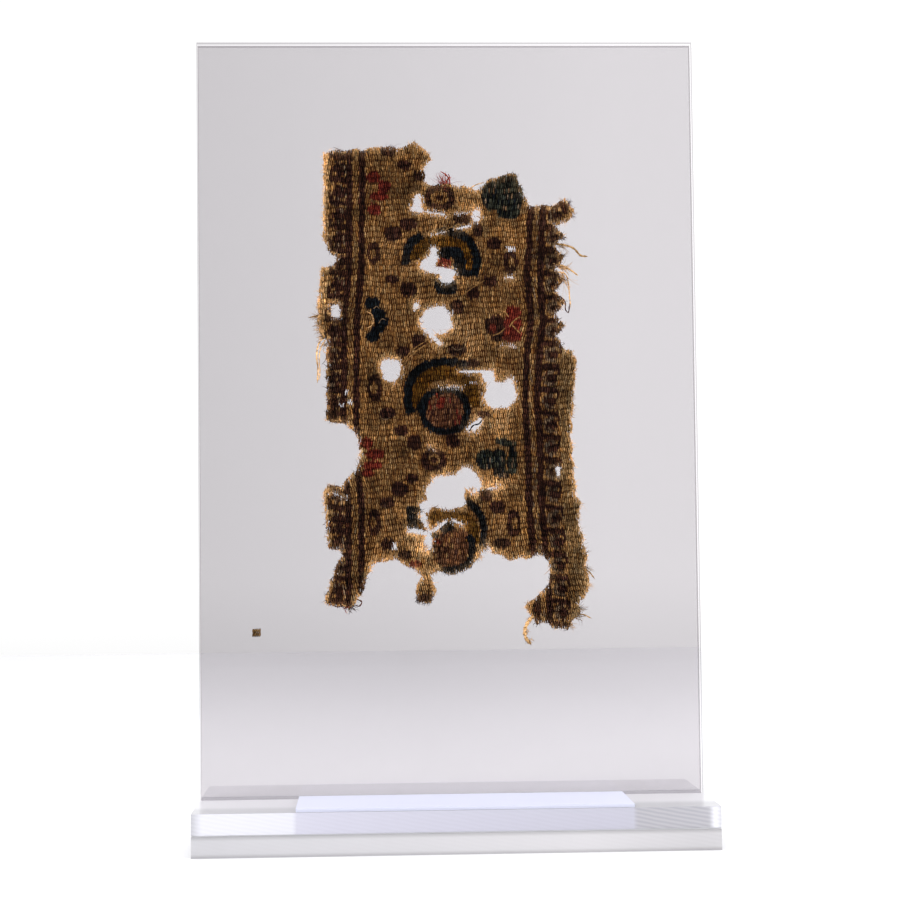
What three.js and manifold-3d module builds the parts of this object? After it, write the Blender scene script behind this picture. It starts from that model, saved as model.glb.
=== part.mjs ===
// A torn tapestry fragment pressed between two clear acrylic panes.
// The panes stand in a slot between two acrylic bars on a base plate, with a paper card on the front bar.
// Millimetres, +Z up, front towards -Y, origin at the middle of the footprint on the table.
import * as THREE from 'three';
import { mergeVertices } from 'three/addons/utils/BufferGeometryUtils.js';
import Module from 'manifold-3d';

const wasm = await Module();
wasm.setup();

// Driving dimensions
const PANE_WIDTH = 125;
const PANE_TALL = 194;
const PANE_THICK = 2;
const FOOT_LAYER = 5;
const FRONT_BAR_DEPTH = 25.2;
const BACK_BAR_DEPTH = 23.6;
const CLOTH_THICK = 1;
const CARD = { wide: 80, deep: 24, thick: 0.5, x: 2 };
const CRUMB = { x: -48.5, z: 51.3, wide: 1.7, turn: 12 };
const GAP = 0.3;

// Torn edges run in short steps and wander by two waves, in millimetres along the edge
const TORN_STEP = 1.5;
const TORN_WAVES = [
  { deep: 0.16, rate: 2.9, start: 0 },
  { deep: 0.16, rate: 1.3, start: 1 },
];
// Worn holes are rounded squares whose size varies by two waves round the rim
const HOLE_SQUARE = 2.6;
const HOLE_STEP = 0.9;
const HOLE_LEAST_STEPS = 10;
const HOLE_WAVES = [
  { deep: 0.06, rate: 3, start: 0 },
  { deep: 0.05, rate: 7, start: 0 },
];
const THREAD_THICK = 0.6;
const THREAD_STEPS = 8;

// Places that follow from the driving dimensions
const SLOT = 2 * PANE_THICK + CLOTH_THICK + 4 * GAP;
const FOOT_DEPTH = FRONT_BAR_DEPTH + SLOT + BACK_BAR_DEPTH;
const FRONT = -FOOT_DEPTH / 2;
const BAR_BOTTOM = FOOT_LAYER + GAP;
const BAR_TOP = BAR_BOTTOM + FOOT_LAYER;
const FRONT_PANE_FACE = FRONT + FRONT_BAR_DEPTH + GAP;
const CLOTH_FACE = FRONT_PANE_FACE + PANE_THICK + GAP;
const BACK_PANE_FACE = CLOTH_FACE + CLOTH_THICK + GAP;
const BACK_BAR_FACE = BACK_PANE_FACE + PANE_THICK + GAP;

// The cloth's torn outline in four stretches, clockwise from its lower left corner.
// x is from the middle of the panes, z is above the table.
const LEFT_EDGE = [
  { x: -31.1, z: 58.4 },
  { x: -31.2, z: 60.4 },
  { x: -29, z: 66 },
  { x: -27, z: 70.2 },
  { x: -27.4, z: 71.8 },
  { x: -30.4, z: 72.2 },
  { x: -30.9, z: 80 },
  { x: -31.6, z: 86.6 },
  { x: -30.2, z: 88 },
  { x: -27, z: 87.2 },
  { x: -25.2, z: 89.8 },
  { x: -22.8, z: 92 },
  { x: -22.2, z: 96 },
  { x: -23, z: 100.8 },
  { x: -25.8, z: 103.3 },
  { x: -30.6, z: 104.3 },
  { x: -30.3, z: 124.5 },
  { x: -32.3, z: 126.5 },
  { x: -32.6, z: 132 },
  { x: -31.6, z: 142.4 },
  { x: -28.6, z: 143 },
  { x: -27.6, z: 145.4 },
  { x: -30, z: 147.2 },
  { x: -31, z: 150 },
];
const TOP_EDGE = [
  { x: -30.8, z: 171.4 },
  { x: -28.5, z: 172.2 },
  { x: -20, z: 172.5 },
  { x: -15, z: 173.3 },
  { x: -12.3, z: 172.6 },
  { x: -8, z: 174.3 },
  { x: -5.2, z: 172.3 },
  { x: -3.8, z: 170.2 },
  { x: -6, z: 167.6 },
  { x: -5.2, z: 165.4 },
  { x: -6, z: 164 },
  { x: -3.5, z: 163.2 },
  { x: 0.5, z: 163.7 },
  { x: 3, z: 162.9 },
  { x: 5.5, z: 163 },
  { x: 7.5, z: 161.8 },
  { x: 11.2, z: 164.8 },
  { x: 14.5, z: 166 },
  { x: 17.5, z: 166.2 },
  { x: 18.8, z: 163 },
  { x: 20.6, z: 158.1 },
  { x: 27.5, z: 158 },
  { x: 30.2, z: 160 },
  { x: 32, z: 157.2 },
  { x: 31.2, z: 154.4 },
];
const RIGHT_EDGE = [
  { x: 29.3, z: 121.6 },
  { x: 31.3, z: 121 },
  { x: 32.4, z: 118.8 },
  { x: 31.5, z: 110 },
  { x: 30.7, z: 100 },
  { x: 31.7, z: 85 },
  { x: 33, z: 82.4 },
  { x: 32.4, z: 78.5 },
  { x: 34.2, z: 69.5 },
  { x: 34, z: 66.5 },
  { x: 35, z: 62 },
  { x: 34, z: 60 },
  { x: 32, z: 57.6 },
  { x: 32.2, z: 55.6 },
  { x: 29.4, z: 51.6 },
];
const BOTTOM_EDGE = [
  { x: 25.8, z: 51.5 },
  { x: 24.6, z: 53 },
  { x: 21.8, z: 52.8 },
  { x: 18.6, z: 57 },
  { x: 23, z: 60.3 },
  { x: 25.3, z: 63.8 },
  { x: 25, z: 68 },
  { x: 23.5, z: 70 },
  { x: 15, z: 68.8 },
  { x: 11, z: 70.8 },
  { x: 9.2, z: 72.6 },
  { x: 5, z: 67 },
  { x: 1, z: 65.2 },
  { x: -3.5, z: 66.4 },
  { x: -5, z: 65.2 },
  { x: -3.7, z: 61.4 },
  { x: -5, z: 58.4 },
  { x: -8, z: 58.5 },
  { x: -8.6, z: 61 },
  { x: -7.1, z: 65 },
  { x: -8.6, z: 66.8 },
  { x: -11, z: 67.4 },
  { x: -13.4, z: 69.6 },
  { x: -19.8, z: 68 },
  { x: -22.4, z: 60.6 },
  { x: -25.2, z: 57.1 },
];
// The right side's worn hooks, a row of scallops between the top and right stretches
const SCALLOPS = { x: 28.3, deep: 1.1, pitch: 5.7, from: 153.4, to: 123.6, steps: 4 };

// Holes worn through the cloth, each a rounded patch turned by degrees
const HOLES = [
  { what: 'left of the top ring', x: -7.3, z: 159.7, wide: 2.4, high: 3.8, turn: -6 },
  { what: 'lower left of the top ring', x: -7.5, z: 157.4, wide: 3.8, high: 1.9, turn: -14 },
  { what: 'slit under the top ring', x: -2.9, z: 156.4, wide: 6.8, high: 0.8, turn: -9 },
  { what: 'right of the top dot', x: 7.5, z: 155.7, wide: 2.6, high: 3.4, turn: 0 },
  { what: 'slit over the top dot', x: 4.4, z: 156.4, wide: 4.2, high: 0.5, turn: 3 },
  { what: 'slit over the first roundel', x: 4.3, z: 152.8, wide: 4.8, high: 1, turn: 14 },
  { what: 'thin slit over the first roundel', x: -1.9, z: 151.3, wide: 4.4, high: 0.7, turn: 17 },
  { what: 'first roundel, upper', x: -3.5, z: 145.2, wide: 2.5, high: 5.6, turn: -8 },
  { what: 'first roundel, left', x: -5.2, z: 144, wide: 4.2, high: 2.2, turn: 42 },
  { what: 'first roundel, middle', x: -2.3, z: 141.9, wide: 9.8, high: 2.4, turn: -10 },
  { what: 'first roundel, lower', x: -0.2, z: 139.9, wide: 4.2, high: 2.9, turn: 8 },
  { what: 'small one beside the middle hole', x: -7.8, z: 132.8, wide: 1.6, high: 2.2, turn: 0 },
  { what: 'middle hole', x: -2.8, z: 129.1, wide: 8.2, high: 7.4, turn: 8 },
  { what: 'slit under the middle hole', x: -3.3, z: 124.6, wide: 5, high: 1.7, turn: -46 },
  { what: 'left border', x: -28.2, z: 131.7, wide: 2.8, high: 4, turn: 6 },
  { what: 'left field', x: -14.4, z: 116.8, wide: 5.4, high: 6.2, turn: 8 },
  { what: 'right of the second roundel', x: 13, z: 110.2, wide: 8.4, high: 7, turn: -4 },
  { what: 'upper right of the second roundel', x: 15.2, z: 113, wide: 3, high: 3.4, turn: -24 },
  { what: 'over the second roundel', x: 10.3, z: 114.6, wide: 3.4, high: 4.4, turn: 18 },
  { what: 'slit over the second roundel', x: 6.2, z: 116.2, wide: 7.6, high: 1.2, turn: 0 },
  { what: 'slit in the second roundel', x: 0.8, z: 112.3, wide: 6.4, high: 0.5, turn: 0 },
  { what: 'under the second roundel', x: 6.6, z: 102.5, wide: 5.2, high: 2.5, turn: 42 },
  { what: 'slit over the lower ring', x: -4.2, z: 96.9, wide: 2.2, high: 0.5, turn: -38 },
  { what: 'over the third roundel', x: -0.9, z: 85.7, wide: 10.2, high: 9, turn: 0 },
  { what: 'under the green flower', x: 4.9, z: 88.9, wide: 7.6, high: 5, turn: -46 },
  { what: 'slit under the green flower', x: 11, z: 86.8, wide: 3.4, high: 1, turn: 8 },
  { what: 'upper left of the third roundel', x: -6.1, z: 82.3, wide: 2.8, high: 3.4, turn: 40 },
  { what: 'left of the third roundel', x: -6.3, z: 79, wide: 2, high: 4.6, turn: 18 },
  { what: 'lower left of the third roundel', x: -7.8, z: 76, wide: 6.6, high: 1.7, turn: -10 },
  { what: 'beside the third disc', x: -5.4, z: 73.9, wide: 2.3, high: 6, turn: -6 },
  { what: 'third roundel, left', x: -2.5, z: 77.4, wide: 5.6, high: 1.2, turn: 36 },
  { what: 'third roundel, right', x: 2, z: 78.3, wide: 3.8, high: 1, turn: -18 },
  { what: 'right border', x: 27.4, z: 91, wide: 1.4, high: 2.8, turn: 0 },
  { what: 'slit under the right bracket', x: 15.9, z: 140, wide: 2.2, high: 0.9, turn: 0 },
  { what: 'slit under the red flower', x: 15.2, z: 122.6, wide: 3.8, high: 0.45, turn: 0 },
  { what: 'slit in the lower left border', x: -27.9, z: 85.3, wide: 4.6, high: 0.6, turn: -22 },
];

// Loose threads, each from its root in the cloth through a bend to its free end
const THREADS = [
  { root: [26.6, 148.4], bend: [32.4, 147.4], tip: [35.6, 145.2] },
  { root: [26.8, 143.6], bend: [31, 142], tip: [33.2, 140.4] },
  { root: [26.8, 141.4], bend: [30.8, 138], tip: [31.2, 132.4] },
  { root: [20.6, 54.6], bend: [18.2, 51], tip: [20, 47.6] },
  { root: [-30.4, 125.6], bend: [-33, 121], tip: [-32.8, 113.6] },
  { root: [-31.6, 130.2], bend: [-33.4, 130.4], tip: [-35, 130] },
  { root: [33, 66.6], bend: [35.4, 65], tip: [36.4, 63.6] },
  { root: [31, 55], bend: [33.6, 54.6], tip: [35.4, 53.8] },
];

const acrylic = new THREE.MeshStandardMaterial({
  color: 0xe4e5ea,
  roughness: 0.05,
  metalness: 0,
  transparent: true,
  opacity: 0.35,
});
const wool = new THREE.MeshStandardMaterial({ color: 0x7c5c3a, roughness: 0.95, metalness: 0 });
const paper = new THREE.MeshStandardMaterial({ color: 0xf1f2fa, roughness: 0.85, metalness: 0 });

// A closed geometry as a solid for joining and cutting
function solidFrom(geometry) {
  geometry.deleteAttribute('normal');
  geometry.deleteAttribute('uv');
  const merged = mergeVertices(geometry);
  return new wasm.Manifold(
    new wasm.Mesh({
      numProp: 3,
      vertProperties: new Float32Array(merged.attributes.position.array),
      triVerts: new Uint32Array(merged.index.array),
    }),
  );
}

// A joined or cut solid as a geometry again
function geometryFrom(solid) {
  const mesh = solid.getMesh();
  const geometry = new THREE.BufferGeometry();
  geometry.setAttribute('position', new THREE.BufferAttribute(mesh.vertProperties, 3));
  geometry.setIndex(new THREE.BufferAttribute(mesh.triVerts, 1));
  geometry.computeVertexNormals();
  return geometry;
}

// A flat board, placed by its lowest corner in depth and height and centred on x
function board(name, wide, deep, tall, x, front, bottom, material) {
  const mesh = new THREE.Mesh(new THREE.BoxGeometry(wide, deep, tall), material);
  mesh.name = name;
  mesh.position.set(x, front + deep / 2, bottom + tall / 2);
  return mesh;
}

// The sum of the waves at one place
function unevenness(waves, at) {
  return waves.reduce((sum, { deep, rate, start }) => sum + deep * Math.sin(rate * at + start), 0);
}

// A closed outline in short steps, each pushed in or out as torn threads are
function tornLoop(corners) {
  const loop = [];
  let walked = 0;
  corners.forEach((corner, i) => {
    const next = corners[(i + 1) % corners.length];
    const along = next.clone().sub(corner);
    const length = along.length();
    const across = new THREE.Vector2(-along.y, along.x).normalize();
    const steps = Math.max(1, Math.round(length / TORN_STEP));
    for (let step = 0; step < steps; step += 1) {
      const far = walked + (length * step) / steps;
      const push = unevenness(TORN_WAVES, far);
      const point = corner.clone().addScaledVector(along, step / steps);
      loop.push(point.addScaledVector(across, push));
    }
    walked += length;
  });
  return loop;
}

// The scalloped stretch of the right edge
function scallopedEdge() {
  const { x, deep, pitch, from, to, steps } = SCALLOPS;
  const count = Math.round(((from - to) / pitch) * steps);
  return Array.from({ length: count + 1 }, (_, i) => {
    const z = from - ((from - to) * i) / count;
    return { x: x - deep * Math.cos((2 * Math.PI * (from - z)) / pitch), z };
  });
}

// A rounded patch with slightly uneven sides
function patchOutline({ x, z, wide, high, turn }) {
  const steps = Math.max(HOLE_LEAST_STEPS, Math.round((wide + high) / HOLE_STEP));
  const centre = new THREE.Vector2(x, z);
  return Array.from({ length: steps }, (_, i) => {
    const angle = (2 * Math.PI * i) / steps;
    const rounded = (value) => Math.sign(value) * Math.abs(value) ** (2 / HOLE_SQUARE);
    const uneven = 1 + unevenness(HOLE_WAVES, angle + x);
    const point = new THREE.Vector2(
      x + (wide / 2) * uneven * rounded(Math.cos(angle)),
      z + (high / 2) * uneven * rounded(Math.sin(angle)),
    );
    return point.rotateAround(centre, THREE.MathUtils.degToRad(turn));
  });
}

// A flat slab of the outline, lying in the XY plane
function slab(outline, thick, lift) {
  const geometry = new THREE.ExtrudeGeometry(new THREE.Shape(outline), { depth: thick, bevelEnabled: false });
  geometry.translate(0, 0, lift);
  return solidFrom(geometry);
}

// A loose thread of four sides, in the middle of the cloth's thickness
function looseThread({ root, bend, tip }) {
  const middle = CLOTH_THICK / 2;
  const path = new THREE.QuadraticBezierCurve3(
    new THREE.Vector3(...root, middle),
    new THREE.Vector3(...bend, middle),
    new THREE.Vector3(...tip, middle),
  );
  const half = THREAD_THICK / 2;
  const section = new THREE.Shape([
    new THREE.Vector2(half, 0),
    new THREE.Vector2(0, half),
    new THREE.Vector2(-half, 0),
    new THREE.Vector2(0, -half),
  ]);
  const settings = { steps: THREAD_STEPS, extrudePath: path, bevelEnabled: false };
  return solidFrom(new THREE.ExtrudeGeometry(section, settings));
}

function tapestry() {
  const corners = [...LEFT_EDGE, ...TOP_EDGE, ...scallopedEdge(), ...RIGHT_EDGE, ...BOTTOM_EDGE];
  const outline = tornLoop(corners.map(({ x, z }) => new THREE.Vector2(x, z)));
  let cloth = slab(outline, CLOTH_THICK, 0);
  for (const hole of HOLES) {
    cloth = cloth.subtract(slab(patchOutline(hole), 3 * CLOTH_THICK, -CLOTH_THICK));
  }
  for (const thread of THREADS) {
    cloth = cloth.add(looseThread(thread));
  }
  const mesh = new THREE.Mesh(geometryFrom(cloth), wool);
  mesh.name = 'tapestry';
  mesh.rotation.x = Math.PI / 2;
  mesh.position.y = CLOTH_FACE + CLOTH_THICK;
  return mesh;
}

function clothCrumb() {
  const mesh = new THREE.Mesh(new THREE.BoxGeometry(CRUMB.wide, CLOTH_THICK, CRUMB.wide), wool);
  mesh.name = 'cloth_crumb';
  mesh.rotation.y = THREE.MathUtils.degToRad(CRUMB.turn);
  mesh.position.set(CRUMB.x, CLOTH_FACE + CLOTH_THICK / 2, CRUMB.z);
  return mesh;
}

const cardFront = FRONT + (FRONT_BAR_DEPTH - CARD.deep) / 2;
const display = new THREE.Group();
display.add(
  board('base_plate', PANE_WIDTH, FOOT_DEPTH, FOOT_LAYER, 0, FRONT, 0, acrylic),
  board('front_bar', PANE_WIDTH, FRONT_BAR_DEPTH, FOOT_LAYER, 0, FRONT, BAR_BOTTOM, acrylic),
  board('back_bar', PANE_WIDTH, BACK_BAR_DEPTH, FOOT_LAYER, 0, BACK_BAR_FACE, BAR_BOTTOM, acrylic),
  board('front_pane', PANE_WIDTH, PANE_THICK, PANE_TALL, 0, FRONT_PANE_FACE, BAR_BOTTOM, acrylic),
  board('back_pane', PANE_WIDTH, PANE_THICK, PANE_TALL, 0, BACK_PANE_FACE, BAR_BOTTOM, acrylic),
  board('label_card', CARD.wide, CARD.deep, CARD.thick, CARD.x, cardFront, BAR_TOP + GAP, paper),
  tapestry(),
  clothCrumb(),
);

export default display;
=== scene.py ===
"""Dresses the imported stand: a torn tapestry fragment between clear acrylic panes on a slotted foot."""

import math

import bpy
import numpy as np
from mathutils import Matrix, Vector


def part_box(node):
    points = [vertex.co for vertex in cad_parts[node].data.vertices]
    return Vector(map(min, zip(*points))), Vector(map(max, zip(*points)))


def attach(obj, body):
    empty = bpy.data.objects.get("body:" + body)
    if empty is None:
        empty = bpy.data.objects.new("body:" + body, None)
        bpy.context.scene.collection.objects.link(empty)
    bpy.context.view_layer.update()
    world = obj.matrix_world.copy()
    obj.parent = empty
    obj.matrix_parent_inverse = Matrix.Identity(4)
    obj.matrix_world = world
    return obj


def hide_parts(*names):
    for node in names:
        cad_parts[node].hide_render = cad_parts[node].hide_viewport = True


bl_info = {
    "name": "Tapestry Fragment in a Display Stand",
    "version": (1, 0, 0),
    "blender": (4, 5, 0),
    "location": "3D View > Sidebar > Fragment",
    "description": "Weaves, frays and lights a torn tapestry fragment in its clear acrylic stand",
    "category": "Object",
}

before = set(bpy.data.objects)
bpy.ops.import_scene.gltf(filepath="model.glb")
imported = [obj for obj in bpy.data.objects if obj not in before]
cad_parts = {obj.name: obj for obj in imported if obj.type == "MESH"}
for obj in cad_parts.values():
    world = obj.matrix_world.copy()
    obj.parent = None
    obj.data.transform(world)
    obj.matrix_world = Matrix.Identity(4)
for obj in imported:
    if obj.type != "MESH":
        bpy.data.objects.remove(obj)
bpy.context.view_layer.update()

MM = 0.001
CLOTH_LOW, CLOTH_HIGH = (np.array(corner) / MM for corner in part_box("tapestry"))
CLOTH_MIDDLE = (CLOTH_LOW[1] + CLOTH_HIGH[1]) / 2
DYES = ("tan", "gold", "cream", "brown", "navy", "ochre", "red", "green", "russet", "grey")

WHITE = (1, 1, 1, 1)
ACRYLIC_IOR = 1.49

# Milkiness of the blocks' cut faces: x, colour, strength of the saw marks. The front bar's middle is
# darker and lavender: a painted reflection of the card on it.
PLAIN_TONES = ((-62, "#bab9bd", 0.3), (-50, "#bebdc1", 0.3), (30, "#c8c6c9", 0.3), (60, "#bab8bb", 0.6))
FRONT_BAR_TONES_WITH_CARD_REFLECTION = (
    (-62.4, "#b0b0b6", 0.5),
    (-60, "#d4d4dc", 0.25),
    (-38.6, "#d2d2da", 0.25),
    (-37.8, "#c0bfcd", 0.2),
    (41.6, "#b2b1be", 0.2),
    (42.4, "#a5a4aa", 1),
    (59.5, "#a5a4aa", 1),
    (61, "#e0e0e8", 0.5),
    (62.2, "#c4c4ca", 0.5),
)


def linear(code):
    """Linear colour of an sRGB hex code."""
    parts = [int(code[i : i + 2], 16) / 255 for i in (1, 3, 5)]
    return tuple(p / 12.92 if p <= 0.04045 else ((p + 0.055) / 1.055) ** 2.4 for p in parts)


# The tapestry's chart, in millimetres: x from the middle of the panes, z above the table.

# How far the two borders wander sideways at each height
LEFT_WANDER = (
    (60, -1.0),
    (75, -1.0),
    (82, -0.8),
    (90, -1.6),
    (104, -2.0),
    (130, -1.6),
    (142, -0.3),
    (172, 0.0),
)
RIGHT_WANDER = (
    (60, 1.2),
    (75, 0.1),
    (85, -0.5),
    (95, -0.6),
    (108, -1.2),
    (118, -0.7),
    (130, 0.5),
    (141, -0.2),
    (157, 0.9),
)

# Border lines, each with its middle and width
LEFT_LINES = ((-24.4, 1.5), (-21.2, 1.6))
RIGHT_LINES = ((20.5, 1.7), (23.6, 1.7))

# Where the borders, the plain margins outside them and the left margin's paler edge begin
LEFT_BORDER, RIGHT_BORDER = -20, 19.4
LEFT_MARGIN, RIGHT_MARGIN = -29.4, 28.9
LEFT_SELVEDGE = -29.6

# The right margin is torn off above this height
MARGIN_TOP = 122.0

# Pale links show between the right lines at this spacing, over this share of it
LINK_SPACING = 2.1
LINK_SHARE = 0.6

# Half the width of the strip between two border lines
STRIP_HALF = 0.6

# Running hooks beside the lines: share of pale yarn in their outline, side, middle, first height, spacing,
# and 1 where the arm joins on top or -1 below
HOOKS = ((0.3, -1, -27.2, 172.6, 5.9, -1), (0.85, 1, 26.9, 156.7, 5.9, 1))

# Discs inside the roundels: dye of their flecks, x, z, wide, high
DISCS = (("red", -0.9, 106.4, 12.8, 12.2), ("tan", 0.8, 71.7, 10.6, 11.0))

# Rings of the roundels, worn away in part: dye, x, z, wide, high, thickness, first and last degree
ARCS = (
    ("ochre", -1.5, 144.2, 16.4, 13.2, 3.2, -30, 178),
    ("navy", -1.5, 144.2, 20.0, 17.0, 2.0, -28, 96),
    ("navy", -1.5, 144.2, 20.0, 17.0, 2.2, 122, 187),
    ("ochre", -0.8, 110.0, 17.0, 15.6, 3.6, -22, 205),
    ("navy", -0.8, 110.0, 20.8, 19.6, 2.1, 55, 208),
    ("navy", -0.9, 106.4, 12.8, 12.2, 1.7, 0, 360),
    ("ochre", -0.7, 75.4, 16.4, 12.0, 3.0, -28, 172),
    ("navy", -0.7, 75.6, 20.2, 19.4, 1.8, -22, 60),
    ("navy", 0.6, 71.6, 11.8, 11.8, 1.7, -118, 42),
)

# Dots of the lozenge trellis, after the pendant's dark tip: x, z, wide, high
DOTS = (
    (-6.4, 59.4, 4.8, 2.2),
    (-14.6, 172.2, 3.8, 2.8),
    (-10.5, 168.6, 3.4, 2.4),
    (-6.9, 165.8, 3.2, 2.6),
    (-9.8, 153.6, 4.4, 3.2),
    (-13.6, 151.2, 4.6, 3.8),
    (-14.0, 139.6, 3.4, 2.2),
    (-9.8, 137.0, 4.2, 3.6),
    (4.0, 154.9, 4.6, 2.6),
    (7.8, 152.0, 2.4, 3.4),
    (12.0, 148.6, 3.4, 3.0),
    (10.8, 139.0, 3.6, 3.0),
    (6.5, 136.0, 3.2, 3.2),
    (2.5, 132.5, 3.6, 3.6),
    (-7.3, 124.0, 3.4, 3.4),
    (-11.2, 121.3, 3.6, 3.0),
    (2.3, 121.8, 4.6, 3.2),
    (6.2, 118.3, 3.6, 2.2),
    (-15.3, 105.8, 4.2, 2.8),
    (-11.9, 101.5, 3.4, 2.8),
    (-8.7, 98.4, 3.8, 3.8),
    (1.0, 98.7, 3.4, 3.4),
    (8.8, 105.4, 3.0, 1.8),
    (-9.3, 89.4, 3.4, 2.4),
    (-12.5, 86.8, 4.2, 3.6),
    (-15.5, 83.4, 3.8, 2.8),
    (9.2, 85.0, 3.4, 3.0),
    (12.0, 82.0, 3.8, 3.4),
    (13.0, 73.0, 4.2, 2.8),
    (-15.6, 73.0, 3.4, 3.0),
    (-11.4, 70.3, 3.6, 2.6),
)

# Brackets at the lozenges' side corners and rings at their top and bottom corners: x, z, wide, high
BRACKETS = (
    (-18.4, 146.3, 3.4, 5.4),
    (16.0, 143.8, 3.4, 5.8),
    (-18.4, 112.3, 3.6, 7.0),
    (-18.8, 78.4, 3.0, 6.8),
    (16.1, 78.0, 3.4, 6.8),
)
RINGS = ((-1.7, 160.3, 7.6, 6.6), (-3.8, 94.0, 6.2, 5.8))

# Petals of the side flowers: dye, x, z, wide, high, degrees
PETALS = (
    ("red", -18.4, 165.6, 3.8, 2.9, 0),
    ("red", -15.6, 163.2, 3.2, 3.0, 0),
    ("red", -17.0, 160.7, 4.6, 2.2, 0),
    ("red", -18.2, 157.4, 3.6, 2.9, 0),
    ("navy", -19.0, 133.6, 3.6, 3.4, 0),
    ("navy", -17.5, 131.3, 4.0, 2.8, -20),
    ("navy", -16.7, 129.0, 3.8, 3.2, 0),
    ("navy", -17.6, 126.9, 3.4, 2.2, 20),
    ("navy", -19.0, 125.2, 3.4, 2.8, 0),
    ("red", -20.6, 98.4, 3.2, 2.8, 0),
    ("red", -18.6, 95.6, 4.8, 2.6, 0),
    ("red", -19.2, 92.8, 4.6, 2.2, 0),
    ("red", -20.4, 90.8, 2.8, 2.0, 0),
    ("green", 12.0, 160.6, 6.2, 7.4, 0),
    ("green", 15.6, 163.8, 5.4, 4.6, 0),
    ("green", 17.0, 160.6, 4.6, 7.4, 0),
    ("green", 15.8, 156.8, 5.8, 4.2, 0),
    ("brown", 12.0, 127.8, 5.2, 5.0, 20),
    ("brown", 13.4, 124.7, 4.6, 1.9, 0),
    ("red", 16.6, 131.2, 3.8, 3.0, 0),
    ("red", 16.4, 128.4, 4.8, 3.6, 0),
    ("red", 16.2, 125.4, 5.0, 3.6, 0),
    ("red", 11.4, 127.2, 2.0, 2.2, 0),
    ("green", 9.2, 94.0, 4.6, 5.2, 0),
    ("green", 12.6, 93.4, 3.6, 6.8, 0),
    ("green", 16.0, 93.6, 2.3, 7.2, 0),
    ("green", 14.4, 98.2, 5.6, 2.1, -14),
    ("green", 13.2, 90.3, 4.6, 2.1, 0),
    ("navy", 0.9, 146.3, 6.8, 3.2, 0),
    ("navy", 3.3, 143.6, 2.8, 6.0, 0),
    ("navy", 5.4, 140.9, 5.2, 1.8, 8),
    ("red", -0.6, 143.6, 3.8, 2.4, -8),
    ("navy", -0.4, 137.9, 5.6, 4.6, 0),
    ("navy", -6.6, 107.6, 2.6, 4.0, -20),
    ("red", -1.9, 108.4, 1.8, 3.6, -20),
    ("navy", -0.8, 77.1, 3.6, 2.6, 20),
    ("navy", 2.8, 77.8, 1.6, 1.2, 0),
    ("navy", -3.5, 75.0, 1.8, 1.4, 30),
    ("red", -3.1, 73.5, 1.6, 1.6, 0),
    ("navy", -9.5, 79.6, 2.6, 5.6, 0),
    ("navy", -8.6, 81.7, 4.6, 1.9, -6),
    ("navy", -9.0, 77.3, 2.2, 1.8, 0),
    ("navy", -7.2, 78.1, 1.1, 2.6, 40),
    ("red", -8.7, 67.9, 3.2, 1.8, 0),
)

# Pinholes worn through the cloth: x, z, wide, high
PINHOLES = (
    (-27.0, 108.0, 0.7, 0.3),
    (-24.8, 108.7, 0.7, 0.3),
    (-25.5, 111.3, 0.5, 0.3),
    (6.3, 113.6, 1.2, 0.3),
    (16.2, 147.2, 1.8, 0.7),
    (-13.8, 72.3, 0.8, 1.3),
)

# Faded and darkened places: x, z, reach, change
AGEING = (
    (4.0, 125.5, 5.0, 0.45),
    (8.0, 123.0, 5.0, 0.2),
    (-13.0, 79.0, 5.0, 0.25),
    (-14.0, 146.0, 5.0, 0.2),
    (-9.0, 163.0, 7.0, -0.35),
    (16.0, 140.0, 6.0, -0.12),
    (-14.0, 94.0, 7.0, -0.1),
    (12.5, 103.5, 3.5, 0.7),
    (-8.0, 72.3, 3.2, 1.3),
    (13.0, 88.0, 3.0, 0.6),
    (4.5, 160.0, 3.5, 0.3),
    (-5.0, 67.0, 2.5, 0.5),
    (11.0, 71.5, 3.0, 0.4),
    (-6.0, 62.0, 3.0, 0.4),
    (12.0, 77.0, 4.0, 0.2),
    (6.4, 85.8, 1.8, 0.8),
    (7.4, 69.8, 2.4, 0.6),
    (-5.0, 78.6, 1.4, 0.6),
)

# Bands of the cloth, each one piece of the weave: name, lowest and highest height
CLOTH_BANDS = (
    ("wefts_foot", 0, 88),
    ("wefts_lower", 88, 115),
    ("wefts_upper", 115, 141),
    ("wefts_head", 141, 200),
)

# Frayed fibres: piece, spacing along the rim, reach inside it, turn from straight out, spread, thickness
FRAY = (
    ("fray_standing", 0.16, (0.0, 0.5), 0, 45, 0.08),
    ("fray_edging", 0.13, (-0.15, 0.4), 82, 22, 0.2),
)

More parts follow.
